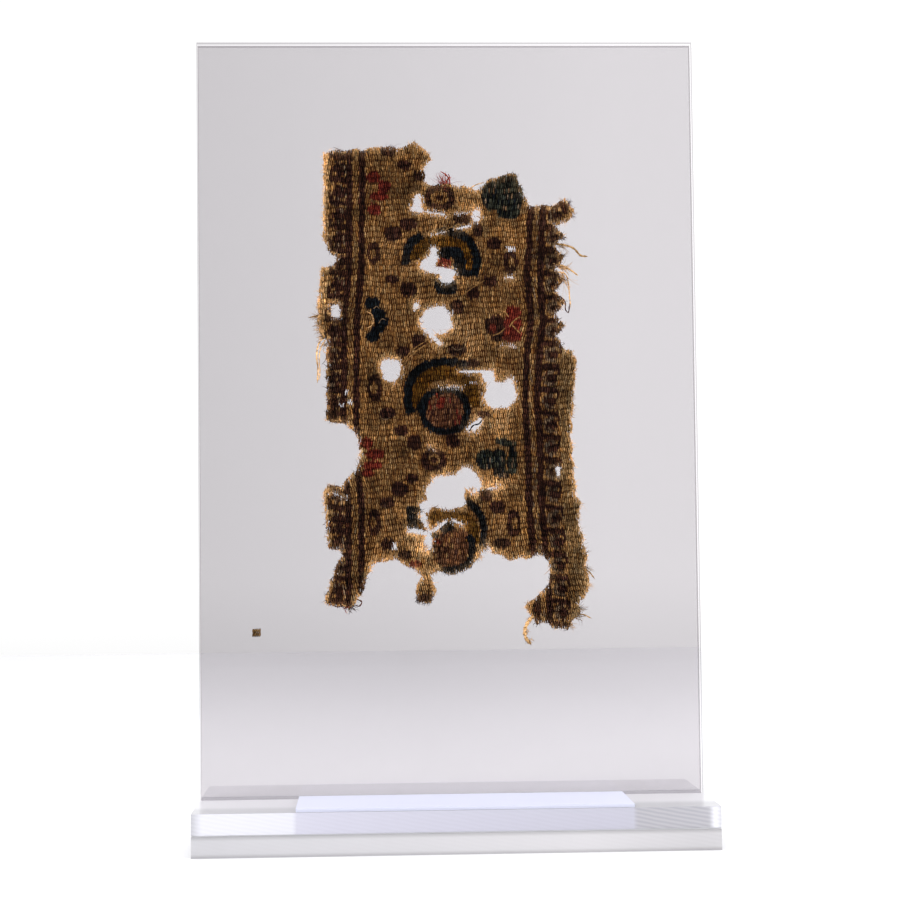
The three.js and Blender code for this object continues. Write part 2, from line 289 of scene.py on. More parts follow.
# Tufts of fibres pulled out of the edges: dye, x, z, heading in degrees, spread, fibres, length
TUFTS = (
    ("cream", -31.6, 130.2, 180, 6, 30, 3.0),
    ("cream", -31.6, 128.4, 182, 9, 24, 2.0),
    ("cream", -31.6, 126.9, 185, 9, 24, 2.0),
    ("cream", -31.4, 125.2, 190, 12, 24, 1.8),
    ("cream", -31.9, 132.6, 175, 12, 20, 1.3),
    ("cream", -31.7, 134.4, 172, 14, 20, 1.1),
    ("gold", -30.4, 123.6, 215, 12, 16, 2.4),
    ("red", -0.2, 162.6, 106, 15, 70, 4.2),
    ("brown", 30.8, 158.4, 60, 40, 26, 1.4),
    ("brown", 31.6, 156.0, -10, 40, 22, 1.3),
    ("brown", 29.2, 149.8, 5, 35, 18, 1.2),
    ("brown", 28.8, 145.4, 0, 35, 18, 1.1),
    ("brown", 29.0, 139.4, -20, 35, 18, 1.1),
    ("brown", 28.6, 133.6, 10, 35, 18, 1.0),
    ("brown", -23.4, 64.5, -45, 22, 34, 2.4),
    ("brown", -22.6, 67.0, -50, 22, 30, 2.2),
    ("brown", -25.4, 57.8, -30, 25, 26, 2.2),
    ("red", -26.5, 57.4, -60, 25, 12, 1.8),
    ("cream", 20.2, 54.2, -120, 25, 30, 1.7),
    ("cream", 18.8, 51.0, -100, 45, 36, 1.1),
    ("cream", 19.4, 48.6, -60, 40, 36, 1.1),
    ("gold", 28.4, 148.2, -15, 12, 20, 2.8),
    ("cream", 28.6, 142.6, -20, 10, 30, 3.2),
    ("cream", 28.8, 141.0, -72, 9, 16, 6.0),
    ("gold", 28.7, 144.8, 62, 14, 16, 2.6),
    ("gold", 33.4, 70.4, -10, 18, 18, 1.8),
    ("gold", 33.6, 66.6, -25, 14, 22, 2.6),
    ("cream", 34.4, 62.4, -20, 16, 18, 1.8),
    ("gold", 32.0, 56.6, -10, 16, 20, 2.4),
    ("gold", 31.0, 54.4, -5, 14, 22, 3.2),
    ("cream", 29.6, 52.6, -40, 18, 18, 2.2),
    ("cream", -8.4, 73.8, 20, 30, 40, 1.5),
    ("cream", -6.6, 71.6, 50, 30, 36, 1.3),
    ("cream", -9.4, 75.0, 70, 25, 30, 0.9),
    ("cream", -5.0, 78.4, 190, 30, 24, 0.9),
    ("cream", 7.0, 69.8, -50, 30, 36, 1.3),
    ("gold", 8.6, 71.9, -40, 25, 24, 1.2),
    ("cream", -3.6, 66.6, -100, 30, 30, 1.1),
    ("cream", 5.6, 86.3, 90, 30, 30, 0.9),
    ("cream", 10.2, 87.4, 150, 25, 24, 1.6),
    ("cream", 9.6, 106.6, 170, 30, 30, 1.0),
    ("cream", 5.2, 100.6, 40, 25, 24, 1.6),
    ("cream", 7.4, 159.0, 200, 25, 24, 1.4),
    ("cream", -9.8, 142.0, 40, 30, 24, 1.0),
    ("cream", -6.2, 145.6, 10, 30, 24, 1.0),
    ("cream", 0.6, 126.0, 60, 30, 24, 1.0),
    ("brown", -7.7, 59.2, 235, 30, 40, 1.3),
    ("brown", -5.4, 58.9, 200, 40, 40, 1.3),
)

# Loose threads: dye, thickness, and the points they pass through
LOOSE_THREADS = (
    ("gold", 0.6, ((26.8, 148.4), (29.6, 148.2), (32.2, 147.2), (34.0, 145.4), (35.7, 145.2))),
    ("cream", 0.5, ((26.8, 143.4), (29.4, 142.8), (31.2, 141.8), (33.2, 140.3))),
    ("cream", 0.35, ((27.0, 141.4), (29.9, 140.8), (30.7, 138.0), (30.9, 135.0), (31.2, 132.2))),
    ("cream", 1.0, ((20.8, 54.8), (19.2, 52.8), (18.5, 50.6), (19.0, 48.8), (20.1, 47.5))),
    ("cream", 0.45, ((-30.6, 125.6), (-32.3, 123.8), (-33.0, 120.8), (-32.7, 117.0), (-32.9, 113.6))),
    ("cream", 0.3, ((-30.8, 124.4), (-31.9, 122.6), (-32.4, 119.4), (-32.2, 116.2), (-32.5, 114.2))),
    ("gold", 0.4, ((-31.4, 130.2), (-33.0, 130.5), (-35.0, 130.0))),
    ("gold", 0.4, ((32.8, 66.6), (34.8, 65.6), (36.4, 63.6))),
    ("gold", 0.4, ((31.0, 55.0), (33.4, 54.8), (35.4, 53.8))),
    (
        "brown",
        0.35,
        ((27.0, 135.2), (28.6, 135.0), (29.8, 133.6), (29.9, 131.6), (30.4, 131.0), (30.9, 133.4)),
    ),
    ("brown", 0.4, ((-25.0, 58.8), (-23.2, 59.2), (-22.2, 58.6), (-22.8, 57.6), (-24.2, 58.0))),
    ("red", 0.4, ((0.6, 162.6), (0.9, 164.6), (-0.1, 166.2), (-1.4, 167.0))),
    ("red", 0.4, ((0.2, 162.8), (0.0, 164.4), (0.9, 165.6), (0.5, 166.4))),
    ("cream", 0.3, ((5.6, 162.4), (7.4, 163.5), (9.6, 164.2))),
    ("brown", 0.3, ((-6.9, 133.8), (-6.4, 134.8), (-5.9, 134.0), (-6.5, 132.6), (-6.8, 131.4))),
    ("navy", 0.4, ((5.2, 101.2), (6.2, 102.6), (7.6, 103.0), (8.6, 104.2))),
    ("navy", 0.35, ((4.6, 102.6), (6.0, 103.6), (7.2, 104.8))),
)

# Pale strands lying on the face of the cloth: dye, thickness, and the points they pass through
FACE_STRANDS = (
    ("cream", 0.3, ((-20.4, 131.5), (-19.1, 130.7), (-18.7, 129.2), (-19.2, 127.9), (-20.4, 127.3))),
    ("grey", 0.3, ((-17.4, 128.5), (-16.5, 129.6), (-15.4, 129.2))),
    ("grey", 0.3, ((-18.6, 132.2), (-17.8, 132.8), (-17.2, 132.2))),
    ("tan", 0.35, ((15.6, 127.4), (16.6, 128.8), (18.2, 130.0))),
    ("tan", 0.35, ((15.9, 128.2), (17.2, 126.8), (18.6, 125.4))),
    ("tan", 0.35, ((11.4, 125.2), (13.0, 125.8), (14.6, 127.2))),
    ("tan", 0.35, ((13.2, 131.6), (14.6, 131.0), (15.4, 129.8))),
    ("tan", 0.4, ((-12.4, 113.4), (-11.6, 117.0), (-9.4, 120.2), (-6.2, 122.6), (-2.6, 124.0))),
    ("tan", 0.35, ((-11.4, 118.6), (-9.0, 121.6), (-5.8, 123.8))),
    ("tan", 0.35, ((3.6, 135.2), (6.4, 137.4), (9.4, 139.2))),
    ("grey", 0.35, ((-17.0, 104.6), (-15.8, 104.2), (-14.6, 104.8))),
    ("grey", 0.35, ((1.0, 122.4), (2.2, 121.6), (3.6, 122.0))),
)


def turned(x, z, middle_x, middle_z, degrees):
    """Places seen from a motif's middle, with its turn taken out."""
    turn = math.radians(degrees)
    u, v = x - middle_x, z - middle_z
    return u * math.cos(turn) + v * math.sin(turn), v * math.cos(turn) - u * math.sin(turn)


def patch(x, z, middle_x, middle_z, wide, high, degrees=0, square=2.5):
    """True inside a rounded patch."""
    u, v = turned(x, z, middle_x, middle_z, degrees)
    return np.abs(2 * u / wide) ** square + np.abs(2 * v / high) ** square < 1


def band(x, z, middle_x, middle_z, wide, high, thick):
    """True inside an oval ring of that thickness."""
    outer = patch(x, z, middle_x, middle_z, wide, high, square=2.3)
    return outer & ~patch(x, z, middle_x, middle_z, wide - 2 * thick, high - 2 * thick, square=2.3)


def wander(z, table):
    heights, shifts = zip(*table)
    return np.interp(z, heights, shifts)


def arc(x, z, middle_x, middle_z, wide, high, thick, first, last):
    """True inside the stretch of an oval ring between two angles, counter-clockwise from its right."""
    turn = np.degrees(np.arctan2((z - middle_z) / high, (x - middle_x) / wide))
    return band(x, z, middle_x, middle_z, wide, high, thick) & ((turn - first) % 360 < last - first)


def hook(x, z, side, middle, first, spacing, arm_up):
    """Two shapes of a row of curled hooks: the dark knob with its arm, and the pale line round the knob."""
    u = (x - middle) * side
    v = ((z - first + spacing / 2) % spacing - spacing / 2) * arm_up
    knob = patch(u, v, 0.2, -1.0, 2.7, 2.1)
    arm = patch(u, v, -0.4, 1.8, 6.8, 1.7, -6) | patch(u, v, 2.2, 0.5, 1.5, 2.8)
    return knob | arm, arc(u, v, 0.2, -1.0, 4.7, 4.0, 0.95, 75, 290)


def between(across, lines):
    """True in the narrow strip between two border lines."""
    (first, _), (second, _) = lines
    return np.abs(across - (first + second) / 2) < STRIP_HALF


def charted(x, z, mix):
    """Number of the dye that the chart gives each place; mix picks among the yarns of a mottled place."""
    dye = np.zeros(x.shape, int)

    def paint(name, where):
        dye[where] = DYES.index(name)

    for row in DOTS:
        paint("brown", patch(x, z, *row))
    for across, up, wide, high in BRACKETS:
        paint("brown", patch(x, z, across, up, wide, high))
        paint("tan", patch(x, z, across + 0.1 * wide * np.sign(across), up, 0.45 * wide, 0.4 * high))
    for across, up, wide, high in RINGS:
        paint("brown", band(x, z, across, up, wide, high, 1.6))
        paint("brown", patch(x, z, across, up, 1.7, 1.7))
    for flecks, *row in DISCS:
        inside = patch(x, z, *row, square=2)
        paint("russet", inside)
        paint(flecks, inside & (mix > 0.9))
        paint("brown", inside & (mix < 0.15))
    for name, *row in ARCS:
        paint(name, arc(x, z, *row))
    for name, *row in PETALS:
        paint(name, patch(x, z, *row))
    green = dye == DYES.index("green")
    paint("navy", green & (mix < 0.25))
    paint("grey", green & (mix > 0.9))
    left, right = x - wander(z, LEFT_WANDER), x - wander(z, RIGHT_WANDER)
    flowers = (dye == DYES.index("red")) | (dye == DYES.index("navy"))
    paint("tan", (left < LEFT_BORDER) & ~flowers)
    paint("tan", right > RIGHT_BORDER)
    for across, (pale, *row) in zip((left, right), HOOKS):
        curl, outline = hook(across, z, *row)
        paint("brown", curl | outline)
        paint("grey", outline & (mix < pale))
    paint("gold", (left < LEFT_MARGIN) | ((right > RIGHT_MARGIN) & (z < MARGIN_TOP)))
    paint("cream", (left < LEFT_SELVEDGE) & (mix > 0.4))
    for across, lines in ((left, LEFT_LINES), (right, RIGHT_LINES)):
        for middle, wide in lines:
            paint("brown", np.abs(across - middle) < wide / 2)
        paint("gold", between(across, lines) & (mix > 0.5))
    linked = z % LINK_SPACING < LINK_SHARE * LINK_SPACING
    paint("grey", between(right, RIGHT_LINES) & linked & (mix > 0.6))
    return dye


def cloth_outline():
    """The cloth's front face: its corners in millimetres, its triangles, and its rim's pairs of corners."""
    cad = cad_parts["tapestry"].data
    cad.calc_loop_triangles()
    places = np.empty(3 * len(cad.vertices))
    cad.vertices.foreach_get("co", places)
    places = places.reshape(-1, 3) / MM
    triangles = np.empty(3 * len(cad.loop_triangles), int)
    cad.loop_triangles.foreach_get("vertices", triangles)
    triangles = triangles.reshape(-1, 3)
    flat = np.abs(places[:, 1] - CLOTH_LOW[1]) < 0.01
    triangles = triangles[flat[triangles].all(axis=1)]
    corners, same = np.unique(np.round(places[:, [0, 2]], 3), axis=0, return_inverse=True)
    triangles = same.reshape(-1)[triangles]
    sides = np.concatenate([triangles[:, [i, (i + 1) % 3]] for i in range(3)])
    sides = np.sort(sides, axis=1)
    rim, uses = np.unique(sides, axis=0, return_counts=True)
    return corners, triangles, rim[uses == 1]


CORNERS, TRIANGLES, RIM = cloth_outline()


def on_cloth(x, z):
    """True inside the cloth's outline and outside its holes."""
    found = np.zeros(x.shape, bool)
    for (x0, z0), (x1, z1) in CORNERS[RIM]:
        crossed = (z0 > z) != (z1 > z)
        at = x0 + (z - z0) * (x1 - x0) / (z1 - z0 if z1 != z0 else 1)
        found ^= crossed & (x < at)
    return found


def from_rim(x, z):
    """Distance in millimetres to the cloth's nearest edge."""
    least = np.full(x.shape, np.inf)
    for (x0, z0), (x1, z1) in CORNERS[RIM]:
        dx, dz = x1 - x0, z1 - z0
        along = np.clip(((x - x0) * dx + (z - z0) * dz) / (dx * dx + dz * dz), 0, 1)
        least = np.minimum(least, np.hypot(x - x0 - along * dx, z - z0 - along * dz))
    return least


def aged(x, z):
    """How much the wool has faded (above 0) or darkened (below 0) at each place."""
    total = np.zeros(x.shape)
    for middle_x, middle_z, reach, change in AGEING:
        total += change * np.exp(-((x - middle_x) ** 2 + (z - middle_z) ** 2) / reach**2)
    return total


def pinholed(x, z, more):
    """True in the cloth's pinholes, made wider by that much."""
    found = np.zeros(x.shape, bool)
    for middle_x, middle_z, wide, high in PINHOLES:
        found |= patch(x, z, middle_x, middle_z, wide + more, high + more, square=2)
    return found


# Helpers for meshes and nodes


def add(tree, kind, inputs=None, **settings):
    """Adds a node with its settings, its values and the sockets that feed it."""
    made = tree.nodes.new(kind)
    for name, value in settings.items():
        setattr(made, name, value)
    for socket, value in (inputs or {}).items():
        if isinstance(value, bpy.types.NodeSocket):
            tree.links.new(value, made.inputs[socket])
        else:
            made.inputs[socket].default_value = value
    return made


def new_material(name):
    made = bpy.data.materials.new(name)
    made.use_nodes = True
    made.node_tree.nodes.clear()
    return made, made.node_tree


def piece(name, places, faces, material, dye, cell=None):
    """A mesh piece in millimetres that rides on the stand, with a dye and a map place for each vertex; on
    the weave the dye colour holds painted shade too.
    """
    mesh = bpy.data.meshes.new(name)
    mesh.from_pydata((np.asarray(places) * MM).tolist(), [], np.asarray(faces).tolist())
    mesh.polygons.foreach_set("use_smooth", np.ones(len(mesh.polygons), bool))
    mesh.materials.append(material)
    layer = mesh.attributes.new("dye", "FLOAT_COLOR", "POINT")
    layer.data.foreach_set("color", np.column_stack([dye, np.ones(len(dye))]).astype(np.float32).ravel())
    if cell is not None:
        corners = np.empty(len(mesh.loops), int)
        mesh.loops.foreach_get("vertex_index", corners)
        flat = mesh.uv_layers.new(name="OFBake")
        flat.data.foreach_set("uv", np.asarray(cell, np.float32)[corners].ravel())
    made = bpy.data.objects.new(name, mesh)
    bpy.context.scene.collection.objects.link(made)
    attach(made, "root")
    return made


FLOAT_SIDES = 8

# Rings of one visible float: place along it, size, and how much light reaches it
FLOAT_RINGS = (
    (-1.0, 0.0, 0.3),
    (-0.72, 0.68, 0.72),
    (-0.27, 1.0, 1.0),
    (0.27, 1.0, 1.0),
    (0.72, 0.68, 0.72),
    (1.0, 0.0, 0.3),
)


def float_template():
    """Unit places, ring numbers and triangles of a yarn's visible float, pointed at both ends."""
    turns = np.arange(FLOAT_SIDES) * 2 * math.pi / FLOAT_SIDES - math.pi / 2
    places, rings, starts = [], [], []
    for ring, (along, size, _) in enumerate(FLOAT_RINGS):
        starts.append(len(places))
        around = turns if size > 0 else turns[:1]
        places += [(size * math.cos(t), size * math.sin(t), along) for t in around]
        rings += [ring] * len(around)
    faces = []
    for i in range(FLOAT_SIDES):
        k = (i + 1) % FLOAT_SIDES
        faces.append((starts[0], starts[1] + k, starts[1] + i))
        for low, high in zip(starts[1:-2], starts[2:-1]):
            faces += [(low + i, low + k, high + k), (low + i, high + k, high + i)]
        faces.append((starts[-2] + i, starts[-2] + k, starts[-1]))
    return np.array(places, float), np.array(rings), np.array(faces)


def tube_walls(sides, steps):
    """Triangles of a tube's walls, ring after ring."""
    faces = []
    for low in range(0, sides * steps, sides):
        high = low + sides
        for i in range(sides):
            k = (i + 1) % sides
            faces += [(low + i, low + k, high + k), (low + i, high + k, high + i)]
    return faces


def repeated(faces, count, step):
    """The same triangles for each of many alike pieces."""
    return (faces[None] + step * np.arange(count)[:, None, None]).reshape(-1, 3)


def cells(count, across, up):
    """Map places: one small cell for each alike piece, from its own places between -1 and 1."""
    rows = math.ceil(math.sqrt(count))
    number = np.arange(count)[:, None]
    u = (number % rows + 0.5 + 0.42 * across) / rows
    v = (number // rows + 0.5 + 0.42 * up) / rows
    return np.stack([u, v], axis=-1).reshape(-1, 2)


# Painted glow of loose fibres, standing in for light that reaches them through each other from the white
# wall behind
FIBRE_GLOW = 1.2


def wool(name, cover):
    """Hand-spun wool: matte, unevenly dyed and soiled; loose fibres let some of what is behind them show and
    get a painted glow.
    """
    made, tree = new_material(name)
    # The dye attribute holds each vertex's colour: its dye, with painted shade on the weave's floats and
    # core
    dye = add(tree, "ShaderNodeAttribute", attribute_name="dye")
    place = add(tree, "ShaderNodeTexCoord")
    soil = add(
        tree,
        "ShaderNodeTexNoise",
        {"Vector": place.outputs["Object"], "Scale": 1 / (7 * MM), "Detail": 5, "Roughness": 0.65},
    )
    age = add(tree, "ShaderNodeMapRange", {"Value": soil.outputs["Fac"], 1: 0.3, 2: 0.7, 3: 0.34, 4: 1.58})
    fibres = add(
        tree,
        "ShaderNodeTexNoise",
        {"Vector": place.outputs["Object"], "Scale": 1 / (0.4 * MM), "Detail": 3},
    )
    grain = add(
        tree, "ShaderNodeMapRange", {"Value": fibres.outputs["Fac"], 1: 0.32, 2: 0.68, 3: 0.25, 4: 1.9}
    )
    worn = add(
        tree, "ShaderNodeMath", {0: age.outputs["Result"], 1: grain.outputs["Result"]}, operation="MULTIPLY"
    )
    soiled = add(
        tree,
        "ShaderNodeMix",
        {"Factor": 1.0, 6: dye.outputs["Color"], 7: worn.outputs["Value"]},
        data_type="RGBA",
        blend_type="MULTIPLY",
    )
    relief = add(
        tree, "ShaderNodeBump", {"Strength": 0.5, "Distance": 0.06 * MM, "Height": fibres.outputs["Fac"]}
    )
    # Loose fibres get a painted glow in the colour held by the dye attribute
    shader = add(
        tree,
        "ShaderNodeBsdfPrincipled",
        {
            "Base Color": soiled.outputs[2],
            "Roughness": 0.9,
            "Specular IOR Level": 0.03,
            "Normal": relief.outputs["Normal"],
            "Emission Color": dye.outputs["Color"],
            "Emission Strength": FIBRE_GLOW * (1 - cover),
        },
    )
    surface = shader.outputs["BSDF"]
    if cover < 1:
        clear = add(tree, "ShaderNodeBsdfTransparent")
        mixed = add(tree, "ShaderNodeMixShader", {0: cover, 1: clear.outputs["BSDF"], 2: surface})
        surface = mixed.outputs["Shader"]
    add(tree, "ShaderNodeOutputMaterial", {"Surface": surface})
    return made


class FragmentWeave(bpy.types.PropertyGroup):
    warp_spacing: bpy.props.FloatProperty(
        name="Warp spacing", description="Distance between rows of floats", default=1.4 * MM, unit="LENGTH"
    )
    weft_spacing: bpy.props.FloatProperty(
        name="Weft spacing", description="Distance of floats in a row", default=0.52 * MM, unit="LENGTH"
    )
    cloth_depth: bpy.props.FloatProperty(
        name="Cloth depth", description="Thickness through a float", default=0.92 * MM, unit="LENGTH"
    )
    fray_length: bpy.props.FloatProperty(
        name="Fray length", description="Usual reach of the frayed fibres", default=0.6 * MM, unit="LENGTH"
    )


def colour(name, description, code):
    return bpy.props.FloatVectorProperty(
        name=name, description=description, subtype="COLOR", size=3, min=0, max=1, default=linear(code)
    )


class FragmentDyes(bpy.types.PropertyGroup):
    tan_dark: colour("Tan, dark", "Ground wool at its dullest", "#492a0f")
    tan_light: colour("Tan, light", "Ground wool at its palest", "#957144")
    gold_dark: colour("Gold, dark", "Margin wool at its dullest", "#4b3114")
    gold_light: colour("Gold, light", "Margin wool at its palest", "#91744c")
    cream_dark: colour("Cream, dark", "Bleached wool at its dullest", "#785430")
    cream_light: colour("Cream, light", "Bleached wool at its palest", "#c8a06c")
    brown_dark: colour("Brown, dark", "Dark brown wool at its darkest", "#130805")
    brown_light: colour("Brown, light", "Dark brown wool where it is worn", "#42281e")
    navy_dark: colour("Navy, dark", "Indigo wool at its darkest", "#020305")
    navy_light: colour("Navy, light", "Indigo wool where it is worn", "#161d21")
    ochre_dark: colour("Ochre, dark", "Ochre wool at its darkest", "#2b1803")
    ochre_light: colour("Ochre, light", "Ochre wool at its palest", "#694615")
    red_dark: colour("Red, dark", "Madder wool at its darkest", "#390d07")
    red_light: colour("Red, light", "Madder wool at its palest", "#793124")
    green_dark: colour("Green, dark", "Green wool at its darkest", "#0b0d09")
    green_light: colour("Green, light", "Green wool where it is worn", "#3f4135")
    russet_dark: colour("Russet, dark", "Disc wool at its darkest", "#371d10")
    russet_light: colour("Russet, light", "Disc wool at its palest", "#755035")
    grey_dark: colour("Grey, dark", "Worn wool at its darkest", "#36281b")
    grey_light: colour("Grey, light", "Worn wool at its palest", "#77624b")


class FragmentStage(bpy.types.PropertyGroup):
    lens: bpy.props.FloatProperty(name="Lens", description="Focal length", default=80.0, unit="CAMERA")
    yaw: bpy.props.FloatProperty(
        name="Yaw", description="Turn to the right", default=math.radians(2.29), subtype="ANGLE"
    )
    pitch: bpy.props.FloatProperty(
        name="Pitch", description="Tilt upwards", default=math.radians(2.63), subtype="ANGLE"
    )
    roll: bpy.props.FloatProperty(
        name="Roll", description="Turn of the picture", default=math.radians(0.60), subtype="ANGLE"
    )
    eye: bpy.props.FloatVectorProperty(
        name="Eye",
        description="Place of the camera",
        default=(-0.0198, -0.5009, 0.0734),
        subtype="TRANSLATION",
    )
    floor: colour("Floor", "Pale table top", "#d4d4d6")


class FRAGMENT_OT_stage(bpy.types.Operator):
    """Sets the camera, the pale table and the soft studio light"""

    bl_idname = "fragment.stage"
    bl_label = "Set the stage"

    def execute(self, context):
        settings = context.scene.fragment_stage
        self.camera(context, settings)
        self.table(context, settings)
        self.lamps(context)
        self.world(context)
        context.scene.view_settings.view_transform = "Standard"
        return {"FINISHED"}

    def camera(self, context, settings):
        yaw, pitch, roll = settings.yaw, settings.pitch, settings.roll
        right = Vector((math.cos(yaw), -math.sin(yaw), 0))
        ahead = Vector((math.sin(yaw) * math.cos(pitch), math.cos(yaw) * math.cos(pitch), math.sin(pitch)))
        up = right.cross(ahead)
        across = right * math.cos(roll) - up * math.sin(roll)
        upward = right * math.sin(roll) + up * math.cos(roll)
        data = bpy.data.cameras.new("camera")
        data.lens = settings.lens
        data.sensor_width = 36
        data.clip_start = 0.01
        made = bpy.data.objects.new("camera", data)
        turn = Matrix((across, upward, -ahead)).transposed().to_4x4()
        made.matrix_world = Matrix.Translation(settings.eye) @ turn
        context.scene.collection.objects.link(made)
        context.scene.camera = made

    def table(self, context, settings):
        """A pale, matte table top that ends behind the stand in the white of the wall."""
        made, tree = new_material("Pale laminate table")
        place = add(tree, "ShaderNodeTexCoord")
        grain = add(tree, "ShaderNodeTexNoise", {"Vector": place.outputs["Object"], "Scale": 1 / (40 * MM)})
        rough = add(tree, "ShaderNodeMapRange", {"Value": grain.outputs["Fac"], 3: 0.55, 4: 0.7})
        way = add(tree, "ShaderNodeSeparateXYZ", {"Vector": place.outputs["Object"]})
        # In front it is dark to mirrors, which keeps it out of the panes; to the right painted light makes
        # it lighter
        ahead = add(
            tree, "ShaderNodeMapRange", {"Value": way.outputs["Y"], 1: -0.05, 2: -0.5, 3: 0.0, 4: 0.95}
        )
        right = add(tree, "ShaderNodeMapRange", {"Value": way.outputs["X"], 1: 0.0, 2: 0.2, 3: 1.0, 4: 1.14})
        lit = add(
            tree,
            "ShaderNodeMix",
            {"Factor": 1.0, 6: (*settings.floor, 1), 7: right.outputs["Result"]},
            data_type="RGBA",
            blend_type="MULTIPLY",
        )
        path = add(tree, "ShaderNodeLightPath")
        dim = add(
            tree,
            "ShaderNodeMath",
            {0: path.outputs["Is Glossy Ray"], 1: ahead.outputs["Result"]},
            operation="MULTIPLY",
        )
        tone = add(
            tree,
            "ShaderNodeMix",
            {"Factor": dim.outputs["Value"], 6: lit.outputs[2], 7: (0, 0, 0, 1)},
            data_type="RGBA",
        )
        shader = add(
            tree,
            "ShaderNodeBsdfPrincipled",
            {
                "Base Color": tone.outputs[2],
                "Roughness": rough.outputs["Result"],
                "Specular IOR Level": 0.1,
            },
        )
        add(tree, "ShaderNodeOutputMaterial", {"Surface": shader.outputs["BSDF"]})
        near, far, half = -0.7, 0.86, 1.0
        mesh = bpy.data.meshes.new("table")
        corners = [(-half, near, 0), (half, near, 0), (half, far, 0), (-half, far, 0)]
        mesh.from_pydata(corners, [], [(0, 1, 2, 3)])
        mesh.materials.append(made)
        table = bpy.data.objects.new("table", mesh)
        context.scene.collection.objects.link(table)

    def lamps(self, context):
        aim = Vector((0, 0, 0.11))
        for name, place, size, power in (
            ("key_left", (-0.6, -0.6, 0.75), 0.4, 6.5),
            ("key_right", (0.66, -0.6, 0.5), 0.4, 4.0),
            ("overhead", (0.0, 0.2, 0.95), 0.5, 4.0),
        ):
            data = bpy.data.lights.new(name, "AREA")
            data.size = size
            data.energy = power
            lamp = bpy.data.objects.new(name, data)
            lamp.location = place
            lamp.rotation_euler = (aim - lamp.location).to_track_quat("-Z", "Y").to_euler()
            context.scene.collection.objects.link(lamp)

    def world(self, context):
        """A white studio all round, with a dim front that keeps reflections off the panes."""
        world = bpy.data.worlds.new("studio")
        world.use_nodes = True
        tree = world.node_tree
        tree.nodes.clear()
        place = add(tree, "ShaderNodeTexCoord")
        way = add(tree, "ShaderNodeSeparateXYZ", {"Vector": place.outputs["Generated"]})
        # The wall grows brighter to the right and dims a little down to the table
        side = add(
            tree, "ShaderNodeMapRange", {"Value": way.outputs["X"], 1: -0.09, 2: 0.12, 3: 1.07, 4: 1.29}
        )
        low = add(
            tree, "ShaderNodeMapRange", {"Value": way.outputs["Z"], 1: -0.055, 2: -0.018, 3: 0.91, 4: 1.0}
        )
        wall = add(
            tree,
            "ShaderNodeMath",
            {0: side.outputs["Result"], 1: low.outputs["Result"]},
            operation="MULTIPLY",
        )
        white = add(tree, "ShaderNodeBackground", {"Color": WHITE, "Strength": wall.outputs["Value"]})
        front = add(
            tree, "ShaderNodeMapRange", {"Value": way.outputs["Y"], 1: -0.5, 2: 0.3, 3: 0.015, 4: 1.5}
        )
        dim = add(tree, "ShaderNodeBackground", {"Color": WHITE, "Strength": front.outputs["Result"]})
        path = add(tree, "ShaderNodeLightPath")
        through = add(
            tree, "ShaderNodeMath", {0: path.outputs["Transmission Depth"], 1: 0.5}, operation="LESS_THAN"
        )
        mirrored = add(
            tree,
            "ShaderNodeMath",
            {0: path.outputs["Is Glossy Ray"], 1: through.outputs["Value"]},
            operation="MULTIPLY",
        )
        both = add(
            tree,
            "ShaderNodeMixShader",
            {0: mirrored.outputs["Value"], 1: white.outputs["Background"], 2: dim.outputs["Background"]},
        )
        add(tree, "ShaderNodeOutputWorld", {"Surface": both.outputs["Shader"]})
        context.scene.world = world


